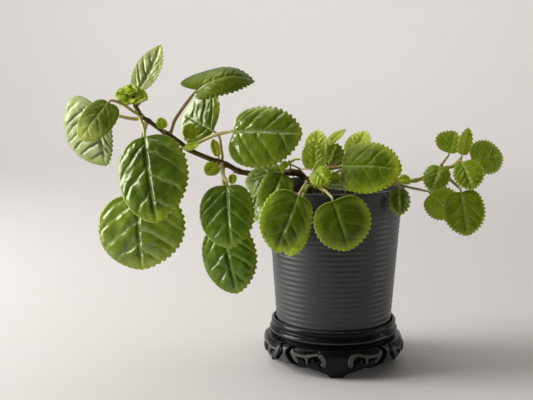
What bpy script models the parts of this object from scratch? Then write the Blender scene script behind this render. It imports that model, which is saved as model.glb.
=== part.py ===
"""Potted swedish ivy: a ribbed pot on a carved wooden stand, with two trailing stems.

Lengths are written in millimetres and turned into metres by MM. The pot's axis is the working
axis while a shape is laid out; POT_AXIS then moves the whole model so that its origin is the
middle of its footprint, on the surface the stand rests on.
"""

import math
from collections import namedtuple

import bmesh
import bpy
import numpy as np

MM = 0.001
POT_AXIS = (0.036, 0.0005, 0.0)

# Stand: a turned board over four carved legs, each with half an apron on both sides.
STAND_TURN = 3.5
BOARD_BOTTOM = 21.9
SEAT = 29.0
LEG_TOP = 21.6
JOINT_GAP = 0.3

# Pot and soil.
GAP = 0.3
POT_BOTTOM = SEAT + GAP
POT_RIM = 134.6
POT_FOOT_R = 43.0
POT_RIM_R = 50.7
POT_LIP_R = 51.9
WALL = 3.0
SOIL_TOP = 125.0
AROUND = 40

# Leaves.
BLADE = 0.8
PETIOLE_R = 0.9
SWEEP = 0.35
BLADE_ROWS = (0.006, 0.04, 0.12, 0.26, 0.45, 0.65, 0.82, 0.94)
SMALL_ROWS = (0.01, 0.07, 0.22, 0.45, 0.7, 0.9)
ACROSS = (-1.0, -0.5, 0.0, 0.5, 1.0, 0.5, 0.0, -0.5)
SIDE = (0, 1, 1, 1, 0, -1, -1, -1)

GREEN_DEEP = (0.075, 0.16, 0.02)
GREEN = (0.13, 0.25, 0.025)
GREEN_YOUNG = (0.28, 0.42, 0.05)
STEM_BROWN = (0.16, 0.10, 0.045)
POT_GREY = (0.06, 0.062, 0.064)
WOOD_BLACK = (0.012, 0.011, 0.011)
SOIL_BROWN = (0.035, 0.022, 0.014)

Stem = namedtuple("Stem", "name points radii")

# Each stem's axis, from its end in the soil to its tip, and its radius at the two ends.
STEMS = (
    Stem("stem_left", ((-19, -8, 118), (-19, -8, 127), (-20.5, -10, 135.5), (-23.5, -10, 142),
                       (-29, -10, 144.5), (-38, -8, 144), (-54, -6, 142.5), (-70, -5, 144),
                       (-79.5, -6, 149), (-89, -8, 152.5), (-100, -9, 157), (-108, -10, 161),
                       (-118, -12, 169), (-127.5, -13, 175), (-136, -14, 181.5),
                       (-143, -15, 186.5), (-145.5, -15, 191.5), (-147.5, -15, 198.3)), (2.1, 1.2)),
    Stem("stem_right", ((9, 2, 118), (9, 2, 124), (9.3, 2, 130), (15, 2, 136), (28, 1, 138), (44, 0, 138),
                        (57, -2, 138), (66, -3, 141), (73.5, -4, 145), (79, -4, 147.5),
                        (87.5, -4, 150), (92, -4, 154.5)), (1.5, 1.0)),
    Stem("stem_front", ((-14, -14, 118), (-14, -14, 127), (-14, -16, 134), (-14, -18, 140),
                        (-15, -20, 144)), (1.7, 1.2)),
    Stem("stem_back", ((-8, 3, 118), (-8, 3, 127), (-7, 5, 136), (-5, 8, 145),
                       (-4, 10, 151)), (1.7, 1.2)),
)

# A leaf grows from the point of its stem's axis nearest to `root`. Its petiole runs through the
# `via` points to the blade's `base`; `face` is the way the upper side looks, `left` and `right`
# are the half-widths either side of the midrib seen from above, `bow` the arch along the midrib,
# `cup` the rise of the margins as a share of the half-width and `lobe` how far the margins reach
# back past the base as a share of the length. `taper`, if given, draws the tip to a point.
Leaf = namedtuple("Leaf", "name stem root via base tip face left right bow cup lobe taper",
                  defaults=(0.0,))

LEAVES = (
    Leaf("leaf_left_01", "stem_left", (-142, -15, 186), ((-139, -24, 178.5),),
         (-137, -30, 172), (-125.5, -50, 112.5), (-0.15, -1, 0.3), 29, 24, 3, -0.12, 0.05),
    Leaf("leaf_left_02", "stem_left", (-137.5, -14, 182), ((-145.5, -3, 159.5),),
         (-149.5, 2, 124), (-145.5, -8, 68.5), (-0.1, -1, 0.15), 36, 33.5, 3, -0.1, 0.1),
    Leaf("leaf_left_03", "stem_left", (-143.5, -15, 185), ((-155, -16, 185), (-167.5, -9, 188.5)),
         (-173.5, -20, 192), (-169.5, -18, 149), (-0.3, -1, 0.1), 10, 31.5, 2, -0.1, 0.28),
    Leaf("leaf_left_04", "stem_left", (-145, -15, 189), ((-153.5, -28, 195.5),),
         (-160.5, -38, 197), (-179, -50, 171), (-0.35, -0.9, 0.35), 15, 11.5, 2, -0.1, 0.12),
    Leaf("leaf_left_05", "stem_left", (-145, -15, 194.5), ((-143, -11, 199),),
         (-145, -9, 204.5), (-130, 4, 238), (-0.2, -1, 0.4), 11.5, 8, -2, 0.1, 0.05, 0.5),
    Leaf("leaf_left_06", "stem_left", (-122.5, -12.5, 172.5), ((-119, -9, 185), (-110.5, -6, 197)),
         (-103.5, -5, 204), (-60, 10, 212), (0, 0.75, 0.66), 10.5, 18.5, 3.5, -0.1, 0.36, 0.3),
    Leaf("leaf_left_07", "stem_left", (-84, -7, 152), ((-84.5, -5, 161), (-83, -3, 168.5)),
         (-86, -2, 173.5), (-118, 28, 182.5), (-0.5, -0.75, 0.45), 12, 17.5, 1, 0.1, 0.1),
    Leaf("leaf_left_08", "stem_left", (-107, -10, 160.5), ((-90, -18, 171.5),),
         (-73.5, -24, 176), (-23, -34, 175), (-0.1, -0.9, 0.42), 20, 27.5, 3, -0.1, 0.15),
    Leaf("leaf_left_09", "stem_left", (-84, -7, 150.5), ((-81.5, -22, 144.5),),
         (-77.5, -32, 137.5), (-73, -46, 94), (-0.1, -1, 0.2), 19.5, 21.5, 4, -0.15, 0.08),
    Leaf("leaf_left_10", "stem_left", (-81.5, -7, 150), ((-83, -3, 130),),
         (-84.5, -3, 103), (-72.5, -11, 52), (-0.1, -1, 0.1), 22, 20.5, 3, -0.12, 0.05),
    Leaf("leaf_crown_01", "stem_left", (-37.5, -8, 144), (),
         (-39, -23, 146.5), (-66, -15, 137.5), (-0.1, -0.75, 0.65), 16, 12, 2, -0.1, 0.05),
    Leaf("leaf_crown_02", "stem_left", (-33, -9, 144.5), ((-34, -22, 147),),
         (-37, -34, 146.5), (-48.5, -42, 118.5), (-0.5, -0.8, 0.2), 13, 13, 2, -0.1, 0.05),
    Leaf("leaf_crown_03", "stem_left", (-46.5, -7, 143), (),
         (-53.5, -14, 138.5), (-59, -18, 108.5), (-0.75, -0.65, 0.1), 11, 11, 2, -0.1, 0.05),
    Leaf("leaf_crown_04", "stem_front", (-15, -20, 143.5), (),
         (-15, -19, 148.5), (-15.5, -18, 169), (0, -1, 0.1), 10, 10, -2, 0.2, 0.1),
    Leaf("leaf_crown_05", "stem_back", (-9.5, 8, 144.5), (),
         (-14, -3, 153), (-13, 1, 174.5), (0, -0.9, 0.3), 9.3, 9.3, 0, 0.1, 0.1),
    Leaf("leaf_crown_06", "stem_back", (-8.5, 9, 148), (),
         (-6, 4, 163.5), (6.5, 8, 174.5), (-0.6, 0.1, 0.8), 5, 5, 1, 0, 0.05, 0.6),
    Leaf("leaf_crown_07", "stem_front", (-15, -20, 145), (),
         (-13.5, -38, 150.5), (-3.5, -45, 140), (-0.2, -1, 0.3), 8, 10, 2, -0.2, 0.1),
    Leaf("leaf_crown_08", "stem_front", (-14.5, -18, 141.5), ((-5, -26, 149.5),),
         (5, -32, 152), (47, -40, 150.5), (0.05, -0.8, 0.6), 21.5, 22, 3, -0.08, 0.08),
    Leaf("leaf_crown_09", "stem_back", (-9, 8, 146), ((2, 3, 150),),
         (12.5, 3, 155.5), (23, 10, 174), (0, -0.9, 0.4), 10, 10, 0, 0.1, 0.08),
    Leaf("leaf_crown_10", "stem_back", (-7.5, 10, 147), (),
         (-4, 14, 147.5), (2, 20, 163.5), (0.2, 0.9, 0.3), 10, 10, 2, 0, 0.08),
    Leaf("leaf_crown_11", "stem_back", (-11, 0, 130), (),
         (-5.5, -8, 134.5), (20, -14, 132), (0, -0.3, 0.95), 9, 9, 2, 0, 0.05),
    Leaf("leaf_crown_12", "stem_front", (-16.5, -15, 134), ((-8.5, -17, 136),),
         (-2, -14.5, 137.5), (1, -11, 146), (0, -1, 0.2), 5, 5, 1, 0, 0.05),
    Leaf("leaf_crown_13", "stem_left", (-21, -10, 138), ((-20.5, -36, 139.5),),
         (-24.5, -60, 135), (-40, -64, 95.5), (-0.1, -1, 0.1), 16, 21, 2, -0.1, 0.1),
    Leaf("leaf_crown_14", "stem_front", (-14, -16, 136), ((-18, -39, 139), (-20, -51.5, 138)),
         (-24.5, -53.5, 126.5), (-31.5, -54, 90.5), (-0.3, -1, 0), 12, 12, 1, -0.05, 0.08),
    Leaf("leaf_crown_15", "stem_front", (-17.5, -12, 129.5),
         ((-11.5, -27, 135), (-9, -40, 136), (-6.5, -51, 137)),
         (-1, -60, 131.5), (10.5, -64, 97.5), (0.05, -1, 0.15), 22, 18.5, 2, -0.08, 0.1),
    Leaf("leaf_crown_16", "stem_left", (-27, -10, 144), (),
         (-33.5, -10, 152.5), (-25, -10, 154.5), (-0.1, -0.1, 1), 3, 3, 1, 0, 0.05),
    Leaf("leaf_crown_17", "stem_left", (-31.5, -9.5, 144.5), (),
         (-33.5, -31, 154.5), (-39, -34, 149), (-0.2, -1, 0.2), 3, 3.5, 1, 0, 0.05),
    Leaf("leaf_right_01", "stem_right", (24, 1, 137.5), ((34, -24, 139),),
         (45.5, -33, 136.5), (46.5, -36, 117.5), (0.45, -0.85, 0.1), 9.5, 9.5, 1, -0.1, 0.05),
    Leaf("leaf_right_02", "stem_right", (60, -2, 138), (),
         (55.5, -8, 139), (45.5, -10, 139.5), (0, -0.7, 0.7), 5, 5, 1, 0, 0.05),
    Leaf("leaf_right_03", "stem_right", (79, -4, 148), (),
         (76, -14, 150.5), (69, -24, 133), (-0.2, -1, 0.3), 10.5, 10, 2, -0.15, 0.08),
    Leaf("leaf_right_04", "stem_right", (79.5, -4, 148), (),
         (84, 2, 158.5), (88.5, 9, 174.5), (0.1, -1, 0.3), 13, 8, 0, 0.05, 0.05),
    Leaf("leaf_right_05", "stem_right", (92, -4, 155), (),
         (92.5, -7, 158), (94.5, -6, 176), (0.5, -0.8, 0.2), 5, 6, 0, 0.05, 0.05, 0.6),
    Leaf("leaf_right_06", "stem_right", (90, -4, 152), ((96.5, 2, 152),),
         (101, 5, 153), (126, 16, 154.5), (-0.3, -0.95, 0.3), 15, 13, 1, 0, 0.08),
    Leaf("leaf_right_07", "stem_right", (88.5, -4, 150.5), (),
         (91.5, -14, 153.5), (98.5, -26, 135), (-0.1, -1, 0.4), 13, 10, 1, -0.1, 0.08),
    Leaf("leaf_right_08", "stem_right", (34, 1, 138), ((43, -18, 139), (50, -24, 137)),
         (70.5, -6, 129), (90, 4, 111), (-0.3, -1, 0.2), 14, 13, 1, 0, 0.08),
    Leaf("leaf_right_09", "stem_right", (81.5, -4, 147.5), ((83.5, -13, 141),),
         (90, -24, 133.5), (94.5, -34, 103), (-0.05, -1, 0.2), 15.5, 15, 1, -0.05, 0.1),
    Leaf("bud_leaf_01", "stem_left", (-124.5, -13, 175), (),
         (-125.5, -19, 177), (-127, -22, 185.5), (0, -1, 0.3), 4.5, 4.5, 0, 0, 0.05),
    Leaf("bud_leaf_02", "stem_left", (-110, -10.5, 163), (),
         (-108, -8, 168.5), (-106.5, -8, 180.5), (0, -1, 0.2), 6, 6, 0, 0, 0.05),
    Leaf("bud_leaf_03", "stem_left", (-108.5, -10, 161.5), (),
         (-110, -17, 163.5), (-99, -20, 166), (0, -0.9, 0.4), 3, 4, 0, 0, 0.05),
    Leaf("bud_leaf_04", "stem_left", (-87, -7, 151.5), (),
         (-87, -16, 151.5), (-93.5, -24, 144), (0, -1, 0.3), 6.5, 6, 0, 0, 0.05),
    Leaf("bud_leaf_05", "stem_left", (-87, -7, 152), (),
         (-87, -4, 155.5), (-91.5, 0, 168), (-0.1, -1, 0.2), 4, 4, 0, 0, 0.05),
    Leaf("bud_leaf_06", "stem_left", (-72, -5, 144.5), (),
         (-75, -11, 143), (-76, -14, 135.5), (0, -1, 0.2), 3.5, 3.5, 0, 0, 0.05),
    Leaf("leaf_back_01", "stem_back", (-6, 4, 137), ((3, 34, 140.5), (15, 50, 138.5)),
         (20, 56, 128), (26, 61, 92), (0.3, 1, 0.1), 17, 17, 2, -0.1, 0.05),
    Leaf("leaf_back_02", "stem_back", (-6, 6, 141), ((-10, 34, 144),),
         (-12, 57, 131), (-18, 62, 98), (-0.1, 1, 0.1), 18, 18, 2, -0.1, 0.05),
    Leaf("leaf_back_03", "stem_back", (-8.5, 4, 139), ((-20, 26, 143), (-31, 44, 138.5)),
         (-34, 48, 130), (-36, 52, 106), (-0.5, 0.85, 0.1), 12, 12, 2, -0.1, 0.05),
    Leaf("leaf_back_04", "stem_back", (-6, 7, 139), ((14, 11, 144),),
         (28, 30, 150), (38, 44, 139), (0.4, 0.5, 0.75), 11, 11, 1, 0, 0.05),
    Leaf("leaf_back_05", "stem_back", (-5, 8, 145), ((0, 20, 144),),
         (12, 29, 146), (18, 46, 144), (0, 0.3, 0.95), 12, 12, 1, 0, 0.05),
)

# The young rosette at the left stem's tip: (way it points, way it faces, length, half-width).
ROSETTE_CENTRE = (-148.6, -15.6, 200.9)
ROSETTE = (
    ((-0.9, -0.2, 0.1), (-0.1, -0.6, 0.8), 11.0, 5.5),
    ((-0.3, -0.8, -0.2), (-0.2, -0.3, 0.9), 10.0, 5.0),
    ((0.2, -0.1, 1.0), (-0.2, -0.9, 0.2), 9.0, 4.5),
    ((0.9, -0.3, -0.1), (0.2, -0.5, 0.8), 11.0, 5.0),
    ((-0.5, 0.8, 0.3), (-0.2, -0.4, 0.9), 9.0, 4.5),
)


def unit(v):
    v = np.asarray(v, float)
    return v / np.linalg.norm(v)


def smooth_path(points, per_span):
    """Points along a Catmull-Rom curve through the given ones."""
    p = np.asarray(points, float)
    p = np.vstack([2 * p[0] - p[1], p, 2 * p[-1] - p[-2]])
    out = []
    for i in range(1, len(p) - 2):
        for t in np.arange(per_span) / per_span:
            out.append(0.5 * (2 * p[i] + (p[i + 1] - p[i - 1]) * t
                              + (2 * p[i - 1] - 5 * p[i] + 4 * p[i + 1] - p[i + 2]) * t ** 2
                              + (3 * p[i] - p[i - 1] - 3 * p[i + 1] + p[i + 2]) * t ** 3))
    out.append(p[-2])
    return np.array(out)


def even_path(points, count):
    """The same curve, as points the same distance apart."""
    fine = smooth_path(points, 12)
    run = np.concatenate([[0.0], np.cumsum(np.linalg.norm(np.diff(fine, axis=0), axis=1))])
    at = np.linspace(0.0, run[-1], count)
    return np.stack([np.interp(at, run, fine[:, k]) for k in range(3)], axis=1)


def material(name, colour, roughness, metallic=0.0):
    """A Principled material with constant values."""
    mat = bpy.data.materials.new(name)
    mat.use_nodes = True
    shader = mat.node_tree.nodes["Principled BSDF"]
    shader.inputs["Base Color"].default_value = (*colour, 1.0)
    shader.inputs["Roughness"].default_value = roughness
    shader.inputs["Metallic"].default_value = metallic
    mat.diffuse_color = (*colour, 1.0)
    return mat


def place(obj, group, mat):
    """Puts a finished object on the pot's axis, in its collection, with its material."""
    obj.location = POT_AXIS
    for old in obj.users_collection:
        old.objects.unlink(obj)
    group.objects.link(obj)
    if mat is not None:
        obj.data.materials.clear()
        obj.data.materials.append(mat)
    return obj


def mesh_object(name, points, faces):
    """An object from points in millimetres."""
    mesh = bpy.data.meshes.new(name)
    mesh.from_pydata([tuple(float(c) * MM for c in p) for p in points], [], faces)
    mesh.validate()
    return bpy.data.objects.new(name, mesh)


def turned(name, profile, steps=AROUND):
    """A solid of revolution from an open profile (radius, height) that runs down its outer side."""
    obj = mesh_object(name, [(r, 0.0, z) for r, z in profile], [])
    mesh = obj.data
    mesh.edges.add(len(profile) - 1)
    for i, edge in enumerate(mesh.edges):
        edge.vertices = (i, i + 1)
    screw = obj.modifiers.new("turn", "SCREW")
    screw.steps = screw.render_steps = steps
    screw.use_merge_vertices = True
    screw.merge_threshold = 0.00001
    return obj


def frozen(obj):
    """The object's evaluated mesh on a plain object, with the modifiers used up."""
    bpy.context.view_layer.update()
    done = bpy.data.meshes.new_from_object(obj.evaluated_get(bpy.context.evaluated_depsgraph_get()))
    obj.modifiers.clear()
    obj.data = done
    return obj


def prism(name, outline, near, far):
    """A cutter: an outline in X and Z, swept from Y = -near to Y = -far."""
    n = len(outline)
    points = [(x, -near, z) for x, z in outline] + [(x, -far, z) for x, z in outline]
    faces = [tuple(range(n)), tuple(range(2 * n - 1, n - 1, -1))]
    faces += [(i, i + n, (i + 1) % n + n, (i + 1) % n) for i in range(n)]
    obj = mesh_object(name, points, faces)
    bm = bmesh.new()
    bm.from_mesh(obj.data)
    bmesh.ops.recalc_face_normals(bm, faces=bm.faces)
    bm.to_mesh(obj.data)
    bm.free()
    return obj


def cut(obj, cutter, operation, cutters):
    """One exact Boolean, used up at once; the cutter stays in its own collection as a guide."""
    cutters.objects.link(cutter)
    cutter.hide_render = True
    cutter.display_type = "WIRE"
    step = obj.modifiers.new(cutter.name, "BOOLEAN")
    step.operation = operation
    step.solver = "EXACT"
    step.object = cutter
    frozen(obj)


def stand_board(group, cutters, mat):
    """The round board: a raised lip round the pot's recess, a groove, a bead and a narrow neck."""
    profile = ((0.0, SEAT), (44.0, SEAT), (44.3, 33.2), (45.2, 34.0), (46.5, 33.6), (47.2, 32.2),
               (47.0, 30.3), (46.0, 29.4), (46.4, 28.6), (47.9, 27.6), (48.5, 25.8), (47.8, 24.0),
               (46.2, 23.3), (46.2, BOARD_BOTTOM), (0.0, BOARD_BOTTOM))
    obj = turned("stand_board", profile)
    return place(obj, group, mat)


def on_arc(degrees, height, radius=48.5):
    """Where a point of the apron lies in a leg's own front plane."""
    return radius * math.sin(math.radians(degrees)), height


def stand_legs(group, cutters, mat):
    """Four equal quarters: each is turned as a ring, cut to its wedge, then carved through."""
    ring = ((41.0, LEG_TOP), (49.6, LEG_TOP), (51.2, 20.6), (52.3, 17.8), (52.6, 14.0),
            (52.1, 10.4), (50.6, 7.0), (48.6, 4.0), (47.2, 1.8), (47.0, 0.0), (43.4, 0.0),
            (43.4, 3.0), (45.0, 8.0), (46.0, 13.0), (45.6, 17.0), (41.0, 18.5), (41.0, LEG_TOP))
    leg = turned("stand_leg_front", ring, 48)
    group.objects.link(leg)
    frozen(leg)
    reach = 90.0
    wedge = mesh_object("wedge", [(0.0, -JOINT_GAP / math.sqrt(2), -5.0), (reach, -reach, -5.0),
                                  (-reach, -reach, -5.0),
                                  (0.0, -JOINT_GAP / math.sqrt(2), 30.0), (reach, -reach, 30.0),
                                  (-reach, -reach, 30.0)],
                        [(0, 1, 2), (5, 4, 3), (0, 3, 4, 1), (1, 4, 5, 2), (2, 5, 3, 0)])
    for side, tag in ((1, "right"), (-1, "left")):
        for x in (1, 4) if side == 1 else (2, 5):
            wedge.data.vertices[x].co.y -= JOINT_GAP / math.sqrt(2) * MM
    bm = bmesh.new()
    bm.from_mesh(wedge.data)
    bmesh.ops.recalc_face_normals(bm, faces=bm.faces)
    bm.to_mesh(wedge.data)
    bm.free()
    cut(leg, wedge, "INTERSECT", cutters)
    # The lower edge rises from the foot in shallow cusps; slots and crescents pierce the apron.
    edge = [(5.6, -1.0), (6.4, 1.2), (10.0, 3.3), (15.0, 5.0), (19.5, 6.4), (24.0, 7.6),
            (29.0, 7.0), (33.0, 6.6), (37.0, 8.4), (42.0, 8.2), (46.0, 7.0)]
    slot = [(39.4, 19.6), (36.4, 20.2), (32.6, 12.0), (34.6, 11.2)]
    crescent = [(13.6, 18.2), (19.2, 18.2), (20.6, 15.4), (19.4, 12.0), (16.8, 10.0),
                (17.6, 13.0), (16.6, 15.6)]
    for side, tag in ((1, "right"), (-1, "left")):
        arch = [on_arc(a, z) for a, z in edge] + [(40.0, 7.0), (40.0, -1.0)]
        for kind, shape in (("arch", arch), ("slot", [on_arc(a, z) for a, z in slot]),
                            ("crescent", [on_arc(a, z) for a, z in crescent])):
            cut(leg, prism(f"{kind}_{tag}", [(side * x, z) for x, z in shape], 20.0, 60.0),
                "DIFFERENCE", cutters)
    place(leg, group, mat)
    leg.rotation_euler.z = math.radians(STAND_TURN)
    for k, where in enumerate(("right", "back", "left"), 1):
        copy = leg.copy()
        copy.name = f"stand_leg_{where}"
        copy.rotation_euler.z = math.radians(STAND_TURN + 90.0 * k)
        group.objects.link(copy)
    return leg


def pot_radius(height):
    """The wall's outer radius at a height."""
    share = (height - POT_BOTTOM) / (POT_RIM - POT_BOTTOM)
    return POT_FOOT_R + (POT_RIM_R - POT_FOOT_R) * share


def pot(group, cutters, mat):
    """The tapered shell with a small lip at the rim."""
    floor = POT_BOTTOM + 4.0
    profile = ((0.0, floor), (pot_radius(floor) - WALL - 2.0, floor),
               (pot_radius(floor + 2.0) - WALL, floor + 2.0),
               (pot_radius(128.0) - WALL, 128.0), (POT_RIM_R - WALL, POT_RIM - 0.5),
               (POT_RIM_R - WALL + 0.6, POT_RIM), (POT_LIP_R - 0.5, POT_RIM),
               (POT_LIP_R, POT_RIM - 0.6), (POT_LIP_R, POT_RIM - 1.8),
               (POT_RIM_R, POT_RIM - 2.6), (pot_radius(82.0), 82.0),
               (POT_FOOT_R + 0.1, POT_BOTTOM + 1.2), (POT_FOOT_R - 1.0, POT_BOTTOM),
               (0.0, POT_BOTTOM))
    return place(turned("pot", profile), group, mat)


def soil(group, cutters, mat):
    """Potting soil, heaped a little in the middle, with a socket for each rooted stem."""
    low = POT_BOTTOM + 4.0 + GAP
    profile = ((0.0, SOIL_TOP + 1.0), (18.0, SOIL_TOP + 0.8), (34.0, SOIL_TOP),
               (pot_radius(SOIL_TOP) - WALL - GAP - 0.1, SOIL_TOP - 1.0),
               (pot_radius(low + 2.5) - WALL - GAP - 0.1, low + 2.5),
               (pot_radius(low) - WALL - 2.4, low), (0.0, low))
    obj = turned("soil", profile)
    group.objects.link(obj)
    frozen(obj)
    for stem in STEMS:
        x, y, z = stem.points[0]
        bpy.ops.mesh.primitive_cylinder_add(vertices=12, radius=(stem.radii[0] + 0.5) * MM,
                                            depth=20.0 * MM,
                                            location=(x * MM, y * MM, (z - GAP + 10.0) * MM))
        hole = bpy.context.object
        hole.name = f"socket_{stem.name}"
        bpy.context.collection.objects.unlink(hole)
        cut(obj, hole, "DIFFERENCE", cutters)
    return place(obj, group, mat)


def stem_path(stem):
    """The stem's axis as even points, and its radius at each."""
    points = np.asarray(stem.points, float)
    run = np.linalg.norm(np.diff(points, axis=0), axis=1).sum()
    count = max(6, int(run / 6.5))
    axis = even_path(points, count)
    return axis, np.linspace(stem.radii[0], stem.radii[1], count)


def stem_object(stem, group, mat):
    """A stem: a tapered tube along its axis, closed at both ends."""
    axis, radii = stem_path(stem)
    curve = bpy.data.curves.new(stem.name, "CURVE")
    curve.dimensions = "3D"
    curve.bevel_depth = MM
    curve.bevel_resolution = 2
    curve.use_fill_caps = True
    spline = curve.splines.new("POLY")
    spline.points.add(len(axis) - 1)
    for point, at, radius in zip(spline.points, axis, radii):
        point.co = (*(at * MM), 1.0)
        point.radius = radius
    return place(bpy.data.objects.new(stem.name, curve), group, mat)


def outline(share, taper):
    """A blade's half-width at a share of its length, as a share of its widest."""
    share = min(max(share, 0.0), 1.0)
    if share < 0.44:
        return (1 - ((0.44 - share) / 0.44) ** 2.4) ** 0.526
    return (1 - ((share - 0.44) / 0.56) ** (2.1 - 0.6 * taper)) ** (0.62 + 0.5 * taper)


def leaf_frame(base, tip, face):
    """The blade's own axes: across, along and up from its upper side, and its length."""
    run = np.asarray(tip, float) - np.asarray(base, float)
    length = np.linalg.norm(run)
    along = run / length
    up = np.asarray(face, float)
    up = unit(up - np.dot(up, along) * along)
    return np.cross(along, up), along, up, length


def blade_point(leaf, axes, across, share):
    """A point of the blade's middle surface: across -1 to 1, share 0 at the base, 1 at the tip."""
    right, along, up, length = axes
    u = abs(across)
    s = share + SWEEP * share * (1 - share) * u ** 1.5
    half = leaf.right if across > 0 else leaf.left
    width = u * outline(s, leaf.taper)
    x = math.copysign(half * width, across)
    clear = max(0.0, (half * width - 1.4) / (half - 1.4))
    y = s - leaf.lobe * (1 - s) ** 4 * (4 * clear * (1 - clear)) ** 2
    rise = leaf.bow * 4 * s * (1 - s) + leaf.cup * half * (x / half) ** 2
    return np.asarray(leaf.base, float) + right * x + along * (y * length) + up * rise


def turned_frames(path, across_end):
    """Across and up directions along a path, carried back from its end without twisting."""
    tangents = np.gradient(path, axis=0)
    tangents /= np.linalg.norm(tangents, axis=1)[:, None]
    across = [None] * len(path)
    last = across_end
    for i in range(len(path) - 1, -1, -1):
        last = unit(last - np.dot(last, tangents[i]) * tangents[i])
        across[i] = last
    return [(a, np.cross(a, t)) for a, t in zip(across, tangents)]


def petiole_rings(leaf, axes):
    """Rings from the stem's skin to just before the blade, the first lying flat on the stem."""
    stem = next(s for s in STEMS if s.name == leaf.stem)
    axis, radii = stem_path(stem)
    fine = even_path(axis, len(axis) * 8)
    near = int(np.argmin(np.linalg.norm(fine - np.asarray(leaf.root, float), axis=1)))
    tangent = unit(fine[min(near + 1, len(fine) - 1)] - fine[max(near - 1, 0)])
    thick = np.interp(near / (len(fine) - 1), np.linspace(0, 1, len(radii)), radii)
    right, along, up, length = axes
    small = length < 16
    radius = 0.55 if small else PETIOLE_R
    first = np.asarray(leaf.via[0] if leaf.via else leaf.base, float)
    out = first - fine[near]
    out = unit(out - np.dot(out, tangent) * tangent)
    start = fine[near] + out * (thick + 0.4)
    lift = start + out * (1.2 if small else 2.2)
    end = np.asarray(leaf.base, float) - along * max(0.6, 0.02 * length)
    neck = end - (along + up * 0.7) * (0.9 if small else 1.6)
    short = np.linalg.norm(end - start) < 6 and not leaf.via
    middle = [] if short else [lift] + [np.asarray(v, float) for v in leaf.via]
    route = [start] + middle + [neck, end]
    count = 5 if short or small and not leaf.via else 8
    path = even_path(route, count)
    frames = turned_frames(path, right)
    rings = []
    for i, (centre, (a, b)) in enumerate(zip(path, frames)):
        if i == 0:
            a = unit(a - np.dot(a, out) * out)
            b = np.cross(a, out)
        grow = radius * (1.15 if i == 0 else 1.0)
        rings.append([centre + grow * (a * math.cos(t) + b * math.sin(t))
                      for t in (math.pi - math.pi / 4 * k for k in range(8))])
    return rings


def blade_rings(leaf, axes):
    """Rings of the thin blade: a point on each margin, three above and three below."""
    up = axes[2]
    rows = BLADE_ROWS if axes[3] > 16 else SMALL_ROWS
    return [[blade_point(leaf, axes, u, row) + up * (side * BLADE / 2)
             for u, side in zip(ACROSS, SIDE)] for row in rows]


def leaf_shape(leaf):
    """Points and triangles of one leaf: petiole and blade in one closed skin."""
    axes = leaf_frame(leaf.base, leaf.tip, leaf.face)
    rings = petiole_rings(leaf, axes) + blade_rings(leaf, axes)
    return loft(rings, np.asarray(leaf.tip, float))


def loft(rings, tip):
    """Closes a run of eight-point rings: a flat start, even diagonals, and a point at the tip."""
    points = [p for ring in rings for p in ring] + [tip]
    faces = [tuple(range(8))]
    for k in range(len(rings) - 1):
        a, b = 8 * k, 8 * (k + 1)
        for i in range(8):
            j = (i + 1) % 8
            if abs(ACROSS[i]) > abs(ACROSS[j]):
                faces += [(a + i, b + i, b + j), (a + i, b + j, a + j)]
            else:
                faces += [(a + i, b + i, a + j), (a + j, b + i, b + j)]
    last, end = 8 * (len(rings) - 1), len(points) - 1
    faces += [(last + i, end, last + (i + 1) % 8) for i in range(8)]
    return points, faces


def facing_out(obj):
    """Turns a closed mesh's faces outwards."""
    bm = bmesh.new()
    bm.from_mesh(obj.data)
    bmesh.ops.recalc_face_normals(bm, faces=bm.faces)
    bm.to_mesh(obj.data)
    bm.free()
    return obj


def leaf_object(leaf, group, mat):
    obj = facing_out(mesh_object(leaf.name, *leaf_shape(leaf)))
    obj.data.shade_smooth()
    return place(obj, group, mat)


def rosette(group, cutters, mat):
    """The crinkled tip: five young leaves joined at a small bud."""
    centre = np.asarray(ROSETTE_CENTRE, float)
    bpy.ops.mesh.primitive_uv_sphere_add(segments=10, ring_count=6, radius=2.4 * MM,
                                         location=tuple(centre * MM))
    hub = bpy.context.object
    bpy.context.collection.objects.unlink(hub)
    hub.name = "rosette_left"
    hub.data.name = "rosette_left"
    hub.data.transform(hub.matrix_world)
    hub.matrix_world.identity()
    hub.location = (0.0, 0.0, 0.0)
    group.objects.link(hub)
    for k, (way, face, length, half) in enumerate(ROSETTE):
        way = unit(way)
        young = Leaf(f"young_{k}", "", None, (), tuple(centre + way * 1.6),
                     tuple(centre + way * length), face, half, half, 1.0, 0.12, 0.0, 0.0)
        axes = leaf_frame(young.base, young.tip, young.face)
        rows = [[blade_point(young, axes, u, row) + axes[2] * (side * BLADE * 0.6)
                 for u, side in zip(ACROSS, SIDE)] for row in SMALL_ROWS]
        part = facing_out(mesh_object(young.name, *loft(rows, np.asarray(young.tip, float))))
        cut(hub, part, "UNION", cutters)
    return place(hub, group, mat)


def main():
    for old in list(bpy.data.objects):
        bpy.data.objects.remove(old, do_unlink=True)
    scene = bpy.context.scene.collection
    group = bpy.data.collections.new("potted_swedish_ivy")
    cutters = bpy.data.collections.new("cutters")
    scene.children.link(group)
    scene.children.link(cutters)

    wood = material("black_stained_wood", WOOD_BLACK, 0.32)
    stand_board(group, cutters, wood)
    stand_legs(group, cutters, wood)
    pot(group, cutters, material("pot_satin_grey", POT_GREY, 0.42))
    soil(group, cutters, material("potting_soil", SOIL_BROWN, 0.95))

    bark = material("stem_brown", STEM_BROWN, 0.5)
    for stem in STEMS:
        stem_object(stem, group, bark)
    deep = material("leaf_deep_green", GREEN_DEEP, 0.3)
    fresh = material("leaf_green", GREEN, 0.32)
    young = material("leaf_young", GREEN_YOUNG, 0.4)
    for leaf in LEAVES:
        kind = deep if leaf.name.startswith(("leaf_left", "leaf_back")) else fresh
        leaf_object(leaf, group, young if leaf.name.startswith("bud") else kind)
    rosette(group, cutters, young)


main()
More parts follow.
